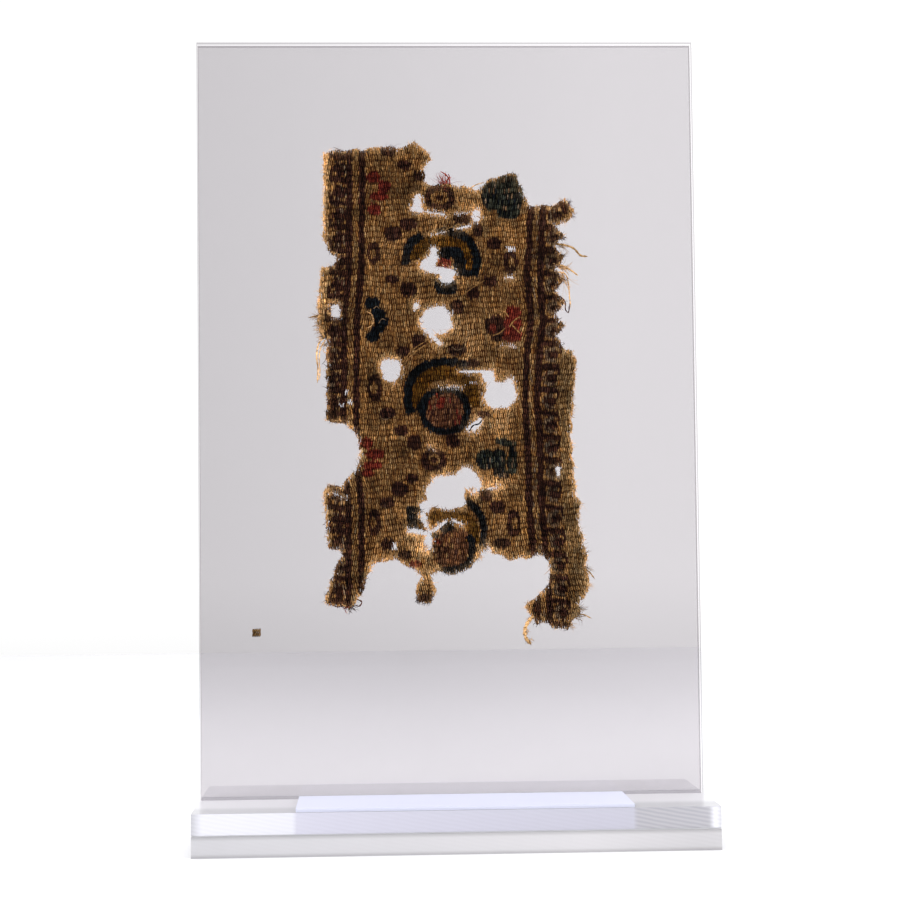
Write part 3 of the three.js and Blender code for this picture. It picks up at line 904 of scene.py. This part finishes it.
class FRAGMENT_OT_acrylic(bpy.types.Operator):
    """Gives the panes, the bars and the base plate their acrylic finish and softened edges"""

    bl_idname = "fragment.acrylic"
    bl_label = "Finish the acrylic"

    def execute(self, context):
        finishes = {
            "front_pane": self.polished_sheet("Cast acrylic sheet, clear", "#f8f7f8", "#d2d0d2"),
            "back_pane": self.polished_sheet("Cast acrylic sheet, grey", "#ebeaeb", "#cac8ca"),
            "front_bar": self.sawn_block(
                "Acrylic block, card reflection painted", "front_bar", FRONT_BAR_TONES_WITH_CARD_REFLECTION, 0.09, 0.02
            ),
            "back_bar": self.sawn_block(
                "Acrylic block, sawn", "back_bar", PLAIN_TONES, 0.05, 0.02, "#c6c6cb", "#cbcacf"
            ),
            "base_plate": self.sawn_block("Acrylic block, base", "base_plate", PLAIN_TONES, 0.03, 0.28),
        }
        for name, finish in finishes.items():
            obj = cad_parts[name]
            obj.data.materials.clear()
            obj.data.materials.append(finish)
            soft = obj.modifiers.new("softened edges", "BEVEL")
            soft.width = 0.15 * MM
            soft.segments = 2
            soft.limit_method = "ANGLE"
        return {"FINISHED"}

    def polished_sheet(self, name, face, edge):
        """Polished acrylic: see-through with a faint grey cast, duller cut edges and a thin mirror sheen."""
        made, tree = new_material(name)
        way = add(tree, "ShaderNodeNewGeometry")
        lie = add(tree, "ShaderNodeSeparateXYZ", {"Vector": way.outputs["Normal"]})
        flat = add(tree, "ShaderNodeMath", {0: lie.outputs["Y"]}, operation="ABSOLUTE")
        tint = add(
            tree,
            "ShaderNodeMix",
            {"Factor": flat.outputs["Value"], 6: (*linear(edge), 1), 7: (*linear(face), 1)},
            data_type="RGBA",
        )
        glassy = self.clear_surface(tree, way, tint.outputs[2], 0.03)
        add(tree, "ShaderNodeOutputMaterial", {"Surface": glassy.outputs["Shader"]})
        return made

    def clear_surface(self, tree, way, tint, roughness):
        """A see-through surface, with a thin mirror sheen on its outer side alone."""
        clear = add(tree, "ShaderNodeBsdfTransparent", {"Color": tint})
        gloss = add(tree, "ShaderNodeBsdfGlossy", {"Color": WHITE, "Roughness": roughness})
        bounce = add(tree, "ShaderNodeFresnel", {"IOR": ACRYLIC_IOR})
        outer = add(tree, "ShaderNodeMath", {0: 1, 1: way.outputs["Backfacing"]}, operation="SUBTRACT")
        sheen = add(
            tree,
            "ShaderNodeMath",
            {0: bounce.outputs["Fac"], 1: outer.outputs["Value"]},
            operation="MULTIPLY",
        )
        return add(
            tree,
            "ShaderNodeMixShader",
            {0: sheen.outputs["Value"], 1: clear.outputs["BSDF"], 2: gloss.outputs["BSDF"]},
        )

    def sawn_block(self, name, node, tones, saw_depth, rim, shaded_front_tone="#a2a2a7", far_tone="#c0bfc4"):
        """Sawn acrylic: milky cut faces with slanting saw marks and painted shade along their rims; pale,
        part clear on top, with painted shade along the top's front.
        """
        made, tree = new_material(name)
        place = add(tree, "ShaderNodeTexCoord")
        way = add(tree, "ShaderNodeSeparateXYZ", {"Vector": place.outputs["Object"]})
        along = add(tree, "ShaderNodeMapRange", {"Value": way.outputs["X"], 1: -0.07, 2: 0.07})
        tone = add(tree, "ShaderNodeValToRGB", {"Fac": along.outputs["Result"]})
        marks = add(tree, "ShaderNodeValToRGB", {"Fac": along.outputs["Result"]})
        for number, (x, code, strength) in enumerate(tones):
            at = (x + 70) / 140
            for ramp, colour_here in ((tone.color_ramp, linear(code)), (marks.color_ramp, [strength] * 3)):
                stop = ramp.elements[number] if number < 2 else ramp.elements.new(at)
                stop.position = at
                stop.color = (*colour_here, 1)
        slant = add(
            tree,
            "ShaderNodeMapping",
            {"Vector": place.outputs["Object"], "Rotation": (0, math.radians(-11), 0)},
        )
        saw = add(
            tree,
            "ShaderNodeTexWave",
            {
                "Vector": slant.outputs["Vector"],
                "Scale": 0.3 / (0.9 * MM),
                "Distortion": 1.5,
                "Detail": 3,
                "Detail Scale": 0.6,
            },
            bands_direction="Z",
        )
        cut_in = add(tree, "ShaderNodeMapRange", {"Value": saw.outputs["Fac"], 3: -saw_depth, 4: saw_depth})
        scored = add(
            tree,
            "ShaderNodeMath",
            {0: cut_in.outputs["Result"], 1: marks.outputs["Color"], 2: 1.0},
            operation="MULTIPLY_ADD",
        )
        milky = add(
            tree,
            "ShaderNodeMix",
            {"Factor": 1.0, 6: tone.outputs["Color"], 7: scored.outputs["Value"]},
            data_type="RGBA",
            blend_type="MULTIPLY",
        )
        (_, near, bottom), (_, _, top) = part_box(node)
        middle = (bottom + top) / 2
        height = add(tree, "ShaderNodeMath", {0: way.outputs["Z"], 1: middle}, operation="SUBTRACT")
        from_middle = add(tree, "ShaderNodeMath", {0: height.outputs["Value"]}, operation="ABSOLUTE")
        # Painted shade: cut faces darken from 1.4 to 2.4 mm above and below the block's middle height, along
        # its rims
        edge = add(
            tree,
            "ShaderNodeMapRange",
            {"Value": from_middle.outputs["Value"], 1: 1.4 * MM, 2: 2.4 * MM, 3: 1.0, 4: 1 - rim},
            interpolation_type="SMOOTHSTEP",
        )
        rim_shaded = add(
            tree,
            "ShaderNodeMix",
            {"Factor": 1.0, 6: milky.outputs[2], 7: edge.outputs["Result"]},
            data_type="RGBA",
            blend_type="MULTIPLY",
        )
        # Painted shade: seen from above, a block's top is darker along its front
        deeper = add(
            tree,
            "ShaderNodeMapRange",
            {"Value": way.outputs["Y"], 1: near + 6 * MM, 2: near + 13 * MM},
            interpolation_type="SMOOTHSTEP",
        )
        upper = add(
            tree,
            "ShaderNodeMix",
            {"Factor": deeper.outputs["Result"], 6: (*linear(shaded_front_tone), 1), 7: (*linear(far_tone), 1)},
            data_type="RGBA",
        )
        face = add(tree, "ShaderNodeNewGeometry")
        lie = add(tree, "ShaderNodeSeparateXYZ", {"Vector": face.outputs["Normal"]})
        flat = add(tree, "ShaderNodeMath", {0: lie.outputs["Z"]}, operation="ABSOLUTE")
        pale = add(
            tree,
            "ShaderNodeMix",
            {"Factor": flat.outputs["Value"], 6: rim_shaded.outputs[2], 7: upper.outputs[2]},
            data_type="RGBA",
        )
        cut = add(
            tree,
            "ShaderNodeBsdfPrincipled",
            {"Base Color": pale.outputs[2], "Roughness": 0.35, "IOR": ACRYLIC_IOR},
        )
        glassy = self.clear_surface(tree, face, (*linear("#f4f4f7"), 1), 0.06)
        share = add(tree, "ShaderNodeMapRange", {"Value": flat.outputs["Value"], 3: 0.85, 4: 0.75})
        mixed = add(
            tree,
            "ShaderNodeMixShader",
            {0: share.outputs["Result"], 1: glassy.outputs["Shader"], 2: cut.outputs["BSDF"]},
        )
        add(tree, "ShaderNodeOutputMaterial", {"Surface": mixed.outputs["Shader"]})
        return made


# What fills a seam stays this far off the faces beside it
CLEARANCE = 0.02 * MM


def strip(context, name, ends, material):
    """A closed box between its ends along x, y and z, for a seam between two pieces."""
    mesh = bpy.data.meshes.new(name)
    xs, ys, zs = ends
    corners = [(x, y, z) for z in zs for y in ys for x in xs]
    faces = [(0, 2, 3, 1), (4, 5, 7, 6), (0, 1, 5, 4), (2, 6, 7, 3), (0, 4, 6, 2), (1, 3, 7, 5)]
    mesh.from_pydata(corners, [], faces)
    mesh.materials.append(material)
    made = bpy.data.objects.new(name, mesh)
    context.scene.collection.objects.link(made)
    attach(made, "root")


class FRAGMENT_OT_cement(bpy.types.Operator):
    """Fills the seams round the two bars with dried cement"""

    bl_idname = "fragment.cement"
    bl_label = "Cement the seams"

    def execute(self, context):
        seam = self.cement("Dried acrylic cement", 0.0)
        # Painted glow: the cement behind the bars emits light, standing in for light that the panes lead to
        # it
        slot = self.cement("Dried acrylic cement, lit through the panes", 0.55)
        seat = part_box("base_plate")[1][2]
        inset = 0.1 * MM
        for bar, pane, bar_face in (("front_bar", "front_pane", 1), ("back_bar", "back_pane", 0)):
            bar_box, pane_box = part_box(bar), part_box(pane)
            left, near, bottom = bar_box[0]
            right, far, top = bar_box[1]
            under = (seat + CLEARANCE, bottom - CLEARANCE)
            ends = ((left + inset, right - inset), (near + inset, far - inset), under)
            strip(context, f"cement_under_{bar}", ends, seam)
            near, far = sorted((bar_box[bar_face][1], pane_box[1 - bar_face][1]))
            left, right = pane_box[0][0], pane_box[1][0]
            gap = (near + CLEARANCE, far - CLEARANCE)
            ends = ((left + inset, right - inset), gap, (bottom, top - inset))
            strip(context, f"cement_behind_{bar}", ends, slot)
        return {"FINISHED"}

    def cement(self, name, glow):
        """Dried cement: a pale satin line along a seam; a painted glow makes it bright where the clear panes
        lead light to it.
        """
        made, tree = new_material(name)
        shader = add(
            tree,
            "ShaderNodeBsdfPrincipled",
            {
                "Base Color": (*linear("#b0b0b4"), 1),
                "Roughness": 0.4,
                "IOR": ACRYLIC_IOR,
                "Emission Color": (*linear("#f4f4f8"), 1),
                "Emission Strength": glow,
            },
        )
        add(tree, "ShaderNodeOutputMaterial", {"Surface": shader.outputs["BSDF"]})
        return made


class FRAGMENT_OT_card(bpy.types.Operator):
    """Gives the blank card its paper"""

    bl_idname = "fragment.card"
    bl_label = "Finish the card"

    def execute(self, context):
        made, tree = new_material("Smooth white paper card")
        place = add(tree, "ShaderNodeTexCoord")
        pulp = add(tree, "ShaderNodeTexNoise", {"Vector": place.outputs["Object"], "Scale": 1 / (0.4 * MM)})
        relief = add(
            tree, "ShaderNodeBump", {"Strength": 0.15, "Distance": 0.05 * MM, "Height": pulp.outputs["Fac"]}
        )
        shader = add(
            tree,
            "ShaderNodeBsdfPrincipled",
            {
                "Base Color": (*linear("#bdbfd0"), 1),
                "Roughness": 0.7,
                "Specular IOR Level": 0.3,
                "Normal": relief.outputs["Normal"],
            },
        )
        add(tree, "ShaderNodeOutputMaterial", {"Surface": shader.outputs["BSDF"]})
        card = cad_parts["label_card"]
        card.data.materials.clear()
        card.data.materials.append(made)
        (left, near, under), (right, far, _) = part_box("label_card")
        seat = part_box("front_bar")[1][2]
        across = (left + CLEARANCE, right - CLEARANCE)
        ends = (across, (near + CLEARANCE, far), (seat + CLEARANCE, under - CLEARANCE))
        strip(context, "card_backing", ends, made)
        return {"FINISHED"}


def dyed(number, shade, dyes):
    """Colour of each dye number at a shade from dark to light."""
    dark = np.array([getattr(dyes, f"{name}_dark") for name in DYES])
    light = np.array([getattr(dyes, f"{name}_light") for name in DYES])
    return dark[number] + (light - dark)[number] * np.asarray(shade)[..., None]


def woven(floats, dyes):
    """Places, triangles, colours and map places of many floats; the colours are dyes with painted shade."""
    unit, rings, faces = float_template()
    along, _, light = np.array(FLOAT_RINGS).T
    f = {key: values[:, None] for key, values in floats.items()}
    across, up = unit[:, 0] * f["wide"] / 2, unit[:, 2] * f["long"] / 2
    x = f["x"] + across * np.cos(f["tilt"]) + up * np.sin(f["tilt"])
    y = f["y"] + unit[:, 1] * f["deep"] / 2
    z = f["z"] + up * np.cos(f["tilt"]) - across * np.sin(f["tilt"])
    middle = along * f["long"] / 2
    chart_x = f["x"] + f["stray_x"] + middle * np.sin(f["tilt"])
    chart_z = f["z"] + f["stray_z"] + middle * np.cos(f["tilt"])
    number = charted(chart_x, chart_z, np.broadcast_to(f["mix"], chart_x.shape))
    # Painted shade: each float is darker at its pointed ends and along its sides; worn floats carry less of
    # it
    lit = light[rings] * (0.45 + 0.55 * np.abs(unit[:, 1]))
    lit = lit + f["worn"] * (1 - lit)
    dye = dyed(number[:, rings], np.broadcast_to(f["shade"], x.shape), dyes)
    ground = number[:, rings] < DYES.index("brown")
    fade = (f["worn"] * np.where(ground, 1, 0.3))[..., None]
    dye += fade * (np.array(dyes.cream_light) - dye)
    dye *= np.stack([1 + f["warmth"], np.ones(f["warmth"].shape), 1 - 1.5 * f["warmth"]], axis=-1)
    dye *= (lit * f["ageing"])[..., None]
    count = len(f["x"])
    places = np.stack([x, y, z], axis=-1).reshape(-1, 3)
    cell = cells(count, unit[:, 0] + 0.15 * unit[:, 1], unit[:, 2])
    return places, repeated(faces, count, len(unit)), dye.reshape(-1, 3), cell


HAIR_SIDES = 3
HAIR_STEPS = 3

# Depths between the panes, in millimetres, that loose fibres keep to and where the fray is rooted
FIBRE_DEPTHS = (0.12, 1.48)
FRAY_DEPTHS = (0.4, 1.2)


def hairs(root, heading, bend, long, thick, rise):
    """Places, triangles and map places of many thin curved fibres."""
    count = len(heading)
    share = np.arange(HAIR_STEPS + 1) / HAIR_STEPS
    turn = heading[:, None] + bend[:, None] * share
    step = long[:, None] / HAIR_STEPS
    x = root[:, 0, None] + np.cumsum(np.cos(turn) * step, axis=1) - np.cos(turn[:, :1]) * step
    z = root[:, 2, None] + np.cumsum(np.sin(turn) * step, axis=1) - np.sin(turn[:, :1]) * step
    y = np.clip(root[:, 1, None] + rise[:, None] * share**2, *FIBRE_DEPTHS)
    around = np.arange(HAIR_SIDES) * 2 * math.pi / HAIR_SIDES
    size = thick[:, None, None] / 2 * (1 - 0.5 * share)[:, None]
    side, deep = size * np.cos(around), size * np.sin(around)
    x, y, z, turn = (values[..., None] for values in (x, y, z, turn))
    places = np.stack([x - side * np.sin(turn), y + deep, z + side * np.cos(turn)], axis=-1)
    last = HAIR_SIDES * HAIR_STEPS
    faces = [(0, 2, 1), (last, last + 1, last + 2), *tube_walls(HAIR_SIDES, HAIR_STEPS)]
    each = HAIR_SIDES * (HAIR_STEPS + 1)
    cell = cells(count, np.tile(np.cos(around + 0.3), HAIR_STEPS + 1), np.repeat(2 * share - 1, HAIR_SIDES))
    return places.reshape(-1, 3), repeated(np.array(faces), count, each), cell


# A cut float's pointed ends reach this far past the edge, in millimetres for both ends
OVERHANG = 0.75

# Shares by which one yarn's shade runs on over the rows next to it
STREAK = (0.25, 0.5, 0.62, 0.5, 0.25)


class FRAGMENT_OT_tapestry(bpy.types.Operator):
    """Weaves the tapestry: a thin core sheet, the floats of its wefts, frayed edges and loose threads"""

    bl_idname = "fragment.tapestry"
    bl_label = "Weave the tapestry"

    def execute(self, context):
        random = np.random.default_rng(7)
        weave, dyes = context.scene.fragment_weave, context.scene.fragment_dyes
        material = wool("Hand-spun dyed wool", 1)
        wisp = wool("Loose wool fibres", 0.5)
        core = self.core(dyes, material)
        loose = self.wefts(weave, dyes, material, random)
        loose += self.fray(weave, dyes, wisp, random)
        loose += self.tufts(dyes, material, random)
        loose += self.threads(dyes, material)
        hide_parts("tapestry")
        return {"FINISHED"}

    def core(self, dyes, material):
        """The warps' sheet, darkened as painted shade and seen only between the floats: square cells, front
        and back, with walls.
        """
        step, half, short_of_rim, round_pinholes = 0.5, 0.12, 0.2, 0.4
        columns, heights = (np.arange(CLOTH_LOW[axis], CLOTH_HIGH[axis], step) for axis in (0, 2))
        x, z = np.meshgrid(columns, heights, indexing="ij")
        good = on_cloth(x, z) & (from_rim(x, z) > short_of_rim) & ~pinholed(x, z, round_pinholes)
        cell = good[:-1, :-1] & good[1:, :-1] & good[:-1, 1:] & good[1:, 1:]
        number = np.arange(x.size).reshape(x.shape)
        corner = number[:-1, :-1], number[1:, :-1], number[1:, 1:], number[:-1, 1:]
        quads = np.stack([c[cell] for c in corner], axis=1)
        sides = np.concatenate([quads[:, [i, (i + 1) % 4]] for i in range(4)])
        known = {tuple(side) for side in sides.tolist()}
        rim = np.array([(a, b) for a, b in known if (b, a) not in known])
        count = x.size
        walls = np.column_stack([rim[:, 1], rim[:, 0], rim[:, 0] + count, rim[:, 1] + count])
        faces = np.concatenate([quads, quads[:, ::-1] + count, walls])
        depths = (np.full(count, CLOTH_MIDDLE + side * half) for side in (-1, 1))
        places = np.concatenate([np.column_stack([x.ravel(), depth, z.ravel()]) for depth in depths])
        used, faces = np.unique(faces, return_inverse=True)
        places = places[used]
        number = charted(places[:, 0], places[:, 2], np.full(len(used), 0.5))
        # Painted shade: the sheet is half as bright as the darkest yarn charted there
        tone = 0.5 * dyed(number, np.zeros(len(used)), dyes)
        return piece("tapestry_core", places, faces.reshape(-1, 4), material, tone)

    def wefts(self, weave, dyes, material, random):
        floats = self.floats(weave, random)
        made = []
        for name, low, high in CLOTH_BANDS:
            chosen = (floats["z"] >= low) & (floats["z"] < high)
            places, faces, dye, cell = woven({key: values[chosen] for key, values in floats.items()}, dyes)
            made.append(piece(name, places, faces, material, dye, cell))
        return made

    def floats(self, weave, random):
        """Place, size, tilt and shade of every visible float; at torn edges they are thicker and paler."""
        pitch, wide = weave.warp_spacing / MM, weave.weft_spacing / MM
        rows = np.arange(CLOTH_LOW[2], CLOTH_HIGH[2], pitch)
        spare = 4
        columns = np.arange(CLOTH_LOW[0] - spare, CLOTH_HIGH[0] + spare, wide)
        row, column = np.meshgrid(np.arange(len(rows)), np.arange(len(columns)), indexing="ij")
        # Every second row is set off by half a float, and all rows lean as the borders wander
        x = (columns[column] + 0.5 * wide * (row % 2)).ravel()
        z = rows[row].ravel()
        streak = random.normal(0, 1, row.shape)
        streak = sum(w * np.roll(streak, shift, axis=0) for shift, w in zip(range(-2, 3), STREAK)).ravel()
        left, right = -24, 22
        share = np.clip((x - left) / (right - left), 0, 1)
        heights = (z - 1, z, z + 1)
        lean = [(1 - share) * wander(h, LEFT_WANDER) + share * wander(h, RIGHT_WANDER) for h in heights]
        x = x + lean[1] + random.normal(0, 0.05, x.shape)
        wave = 0.3 * np.sin(0.21 * x + 0.05 * z) + 0.22 * np.sin(0.8 * x + 0.31 * z)
        z = z + wave + random.normal(0, 0.04, x.shape)
        swing = 0.1 * np.sin(0.33 * x + 0.21 * z) + 0.08 * np.sin(0.13 * x - 0.4 * z)
        tilt = (lean[2] - lean[0]) / 2 + swing + random.normal(0, 0.05, x.shape)
        full = pitch * random.normal(1.32, 0.1, x.shape)
        number, z, long = self.clipped(x, z, full)
        x, tilt, streak = x[number], tilt[number], streak[number]
        count = len(x)
        edge = from_rim(x, z)
        change = aged(x, z)
        fade = 0.7 * np.exp(-edge / 0.8) + 0.6 * np.maximum(change, 0)
        shade = random.lognormal(-0.5, 0.38, count) + 0.1 * streak
        return {
            "x": x,
            "y": CLOTH_MIDDLE + random.normal(0, 0.02, count),
            "z": z,
            "wide": wide * random.normal(0.8, 0.08, count) * (1 + 0.4 * np.exp(-edge / 0.6)),
            "deep": weave.cloth_depth / MM * random.normal(0.94, 0.04, count),
            "long": long,
            "tilt": tilt,
            "stray_x": random.normal(0, 0.08, count),
            "stray_z": random.normal(0, 0.12, count),
            "mix": random.random(count),
            "shade": np.clip(shade, -0.15, 1.5),
            "worn": np.minimum(0.9, fade * random.uniform(0.4, 1.2, count)),
            "warmth": random.normal(0.01, 0.06, count),
            "ageing": 1 + np.where(change > 0, 0.3, 1) * change,
        }

    def clipped(self, x, z, full):
        """The one or two stretches of each float on the cloth: its number, their middles and lengths."""
        samples = 9
        step = np.arange(samples)[:, None]
        up = z + full * (step / (samples - 1) - 0.5)
        across = np.broadcast_to(x, up.shape)
        inside = on_cloth(across, up) & ~pinholed(across, up, 0)
        found = []
        for _ in range(2):
            run, best, last = (np.zeros(x.shape) for _ in range(3))
            for number in range(samples):
                run = np.where(inside[number], run + 1, 0)
                last = np.where(run > best, number, last)
                best = np.maximum(run, best)
            middle = z + full * ((last - (best - 1) / 2) / (samples - 1) - 0.5)
            long = full * best / samples + np.where(best < samples, OVERHANG, 0)
            kept = np.flatnonzero(best > 1)
            found.append((kept, middle[kept], long[kept]))
            inside &= (step > last) | (step <= last - best)
        return (np.concatenate(parts) for parts in zip(*found))

    def fray(self, weave, dyes, material, random):
        """Fine fibres along every torn edge: some lie round the rim, more stand out from it."""
        a, b = CORNERS[RIM[:, 0]], CORNERS[RIM[:, 1]]
        span = np.hypot(*(b - a).T)
        away = np.column_stack([b[:, 1] - a[:, 1], a[:, 0] - b[:, 0]]) / span[:, None]
        away[on_cloth(*((a + b) / 2 + 0.02 * away).T)] *= -1
        made = []
        for name, spacing, inside, turn, spread, thick in FRAY:
            count = int(span.sum() / spacing)
            at = random.choice(len(span), count, p=span / span.sum())
            share = random.random(count)[:, None]
            edge = a[at] * (1 - share) + b[at] * share - away[at] * random.uniform(*inside, count)[:, None]
            heading = np.arctan2(away[at, 1], away[at, 0])
            heading += random.choice((-1, 1), count) * math.radians(turn)
            heading += random.normal(0, math.radians(spread), count)
            root = np.column_stack([edge[:, 0], random.uniform(*FRAY_DEPTHS, count), edge[:, 1]])
            long = weave.fray_length / MM * random.lognormal(0, 0.45, count)
            places, faces, cell = hairs(
                root,
                heading,
                random.normal(0, 0.9, count),
                long,
                thick * random.uniform(0.7, 1.3, count),
                random.normal(0, 0.3, count),
            )
            number = charted(*(edge - 0.7 * away[at]).T, random.random(count))
            # Frayed fibres are paler and brighter: partly bleached wool, partly painted light from the white
            # wall behind them
            pale_share = np.where(number < DYES.index("brown"), 0.6, 0.15)
            number[random.random(count) < pale_share] = DYES.index("cream")
            shade = random.normal(1.1, 0.3, count)
            dye = np.repeat(np.clip(dyed(number, shade, dyes), 0, 1), len(places) // count, axis=0)
            made.append(piece(name, places, faces, material, dye, cell))
        return made

    def tufts(self, dyes, material, random):
        """Brushes of longer fibres where wefts have pulled out of the edges."""
        rows = [row for row in TUFTS for _ in range(row[5])]
        name, x, z, heading, spread, _, long = zip(*rows)
        count = len(rows)
        root = np.column_stack([x, np.full(count, CLOTH_MIDDLE), z])
        root += random.normal(0, (0.35, 0.12, 0.3), (count, 3))
        places, faces, cell = hairs(
            root,
            np.radians(np.array(heading) + np.array(spread) * random.normal(0, 1, count)),
            random.normal(0, 0.6, count),
            np.array(long) * random.uniform(0.45, 1.1, count),
            random.uniform(0.08, 0.16, count),
            random.normal(0, 0.3, count),
        )
        number = np.array([DYES.index(dye) for dye in name])
        shade = random.normal(0.8, 0.25, count) + 0.5 * (number == DYES.index("red"))
        dye = np.repeat(np.clip(dyed(number, shade, dyes), 0, 1), len(places) // count, axis=0)
        return [piece("pulled_tufts", places, faces, material, dye, cell)]

    def threads(self, dyes, material):
        """Loose threads at the edges, brighter than the strands that lie on the cloth's face."""
        every, tones, corners, start = [], [], [], 0
        face = CLOTH_MIDDLE - 0.46
        rows = [(CLOTH_MIDDLE, *row) for row in LOOSE_THREADS] + [(face, *row) for row in FACE_STRANDS]
        for depth, dye, thick, points in rows:
            places, faces = ply_tube(points, thick, depth)
            every.append(places)
            corners.append(np.array(faces) + start)
            start += len(places)
            shade = np.full(len(places), 1.1 if depth == CLOTH_MIDDLE else 0.6)
            tones.append(np.minimum(1, dyed(np.full(len(places), DYES.index(dye)), shade, dyes)))
        places, corners, tones = (np.concatenate(parts) for parts in (every, corners, tones))
        return [piece("loose_threads", places, corners, material, tones)]


class FRAGMENT_OT_crumb(bpy.types.Operator):
    """Weaves the crumb that fell from the cloth"""

    bl_idname = "fragment.crumb"
    bl_label = "Weave the crumb"

    def execute(self, context):
        random = np.random.default_rng(11)
        weave, dyes = context.scene.fragment_weave, context.scene.fragment_dyes
        low, high = (np.array(corner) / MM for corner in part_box("cloth_crumb"))
        wide = weave.weft_spacing / MM
        columns = np.arange(low[0] + wide / 2, high[0], wide)
        x = np.repeat(columns, 2)
        z = np.tile([low[2] + 0.55, high[2] - 0.55], len(columns))
        count = len(x)
        # The chart gives the left margin's yarn to whatever strays this far to the left
        off_chart = -100.0
        floats = {
            "x": x,
            "y": np.full(count, CLOTH_MIDDLE),
            "z": z,
            "wide": wide * random.normal(1.05, 0.1, count),
            "deep": np.full(count, 0.86),
            "long": random.normal(1.3, 0.1, count),
            "tilt": random.normal(0.2, 0.08, count),
            "stray_x": np.full(count, off_chart),
            "stray_z": np.zeros(count),
            "mix": np.zeros(count),
            "shade": random.normal(0.6, 0.2, count),
            "worn": np.zeros(count),
            "warmth": np.zeros(count),
            "ageing": np.ones(count),
        }
        places, faces, dye, cell = woven(floats, dyes)
        crumb = piece("crumb_wefts", places, faces, bpy.data.materials["Hand-spun dyed wool"], dye, cell)
        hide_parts("cloth_crumb")
        return {"FINISHED"}


THREAD_SIDES = 8


def ply_tube(points, thick, depth):
    """A thread of two twisted plies through the points."""
    points = np.array(points, float)
    walked = np.concatenate([[0], np.cumsum(np.hypot(*np.diff(points, axis=0).T))])
    steps = max(6, int(walked[-1] / 0.3))
    at = np.linspace(0, walked[-1], steps)
    line = smooth_through(points, walked, at)
    ahead = np.gradient(line, axis=0)
    ahead /= np.hypot(*ahead.T)[:, None]
    turns = np.arange(THREAD_SIDES) * 2 * math.pi / THREAD_SIDES
    taper = np.minimum(1, 0.35 + 0.65 * np.arange(steps)[::-1] / 3)[:, None]
    size = thick / 2 * taper * (0.82 + 0.22 * np.cos(2 * (turns - 2.4 * at[:, None])))
    side, deep = size * np.cos(turns), size * np.sin(turns)
    places = np.stack(
        [line[:, :1] + side * ahead[:, 1:], depth + deep, line[:, 1:] - side * ahead[:, :1]], axis=-1
    )
    faces = tube_walls(THREAD_SIDES, steps - 1)
    last = (steps - 1) * THREAD_SIDES
    for i in range(1, THREAD_SIDES - 1):
        faces += [(0, i + 1, i), (last, last + i, last + i + 1)]
    return places.reshape(-1, 3), faces


def smooth_through(points, walked, at):
    """Points on a smooth curve through the given ones, by cubic pieces."""
    slope = np.gradient(points, walked, axis=0)
    index = np.clip(np.searchsorted(walked, at, side="right") - 1, 0, len(points) - 2)
    span = (walked[index + 1] - walked[index])[:, None]
    t = (at - walked[index])[:, None] / span
    return (
        (2 * t**3 - 3 * t**2 + 1) * points[index]
        + (t**3 - 2 * t**2 + t) * span * slope[index]
        + (3 * t**2 - 2 * t**3) * points[index + 1]
        + (t**3 - t**2) * span * slope[index + 1]
    )


class FRAGMENT_PT_panel(bpy.types.Panel):
    """Lists the steps that dress the fragment"""

    bl_idname = "FRAGMENT_PT_panel"
    bl_label = "Tapestry Fragment"
    bl_space_type = "VIEW_3D"
    bl_region_type = "UI"
    bl_category = "Fragment"

    def draw(self, context):
        for operator in OPERATORS:
            self.layout.operator(operator.bl_idname)


OPERATORS = (
    FRAGMENT_OT_stage,
    FRAGMENT_OT_acrylic,
    FRAGMENT_OT_cement,
    FRAGMENT_OT_card,
    FRAGMENT_OT_tapestry,
    FRAGMENT_OT_crumb,
)
GROUPS = {"fragment_weave": FragmentWeave, "fragment_dyes": FragmentDyes, "fragment_stage": FragmentStage}


def register():
    for made in (*GROUPS.values(), *OPERATORS, FRAGMENT_PT_panel):
        bpy.utils.register_class(made)
    for name, group in GROUPS.items():
        setattr(bpy.types.Scene, name, bpy.props.PointerProperty(type=group))


def unregister():
    for name in GROUPS:
        delattr(bpy.types.Scene, name)
    for made in reversed((*GROUPS.values(), *OPERATORS, FRAGMENT_PT_panel)):
        bpy.utils.unregister_class(made)


def main():
    register()
    bpy.ops.fragment.stage()
    bpy.ops.fragment.acrylic()
    bpy.ops.fragment.cement()
    bpy.ops.fragment.card()
    bpy.ops.fragment.tapestry()
    bpy.ops.fragment.crumb()


if __name__ == "__main__":
    main()
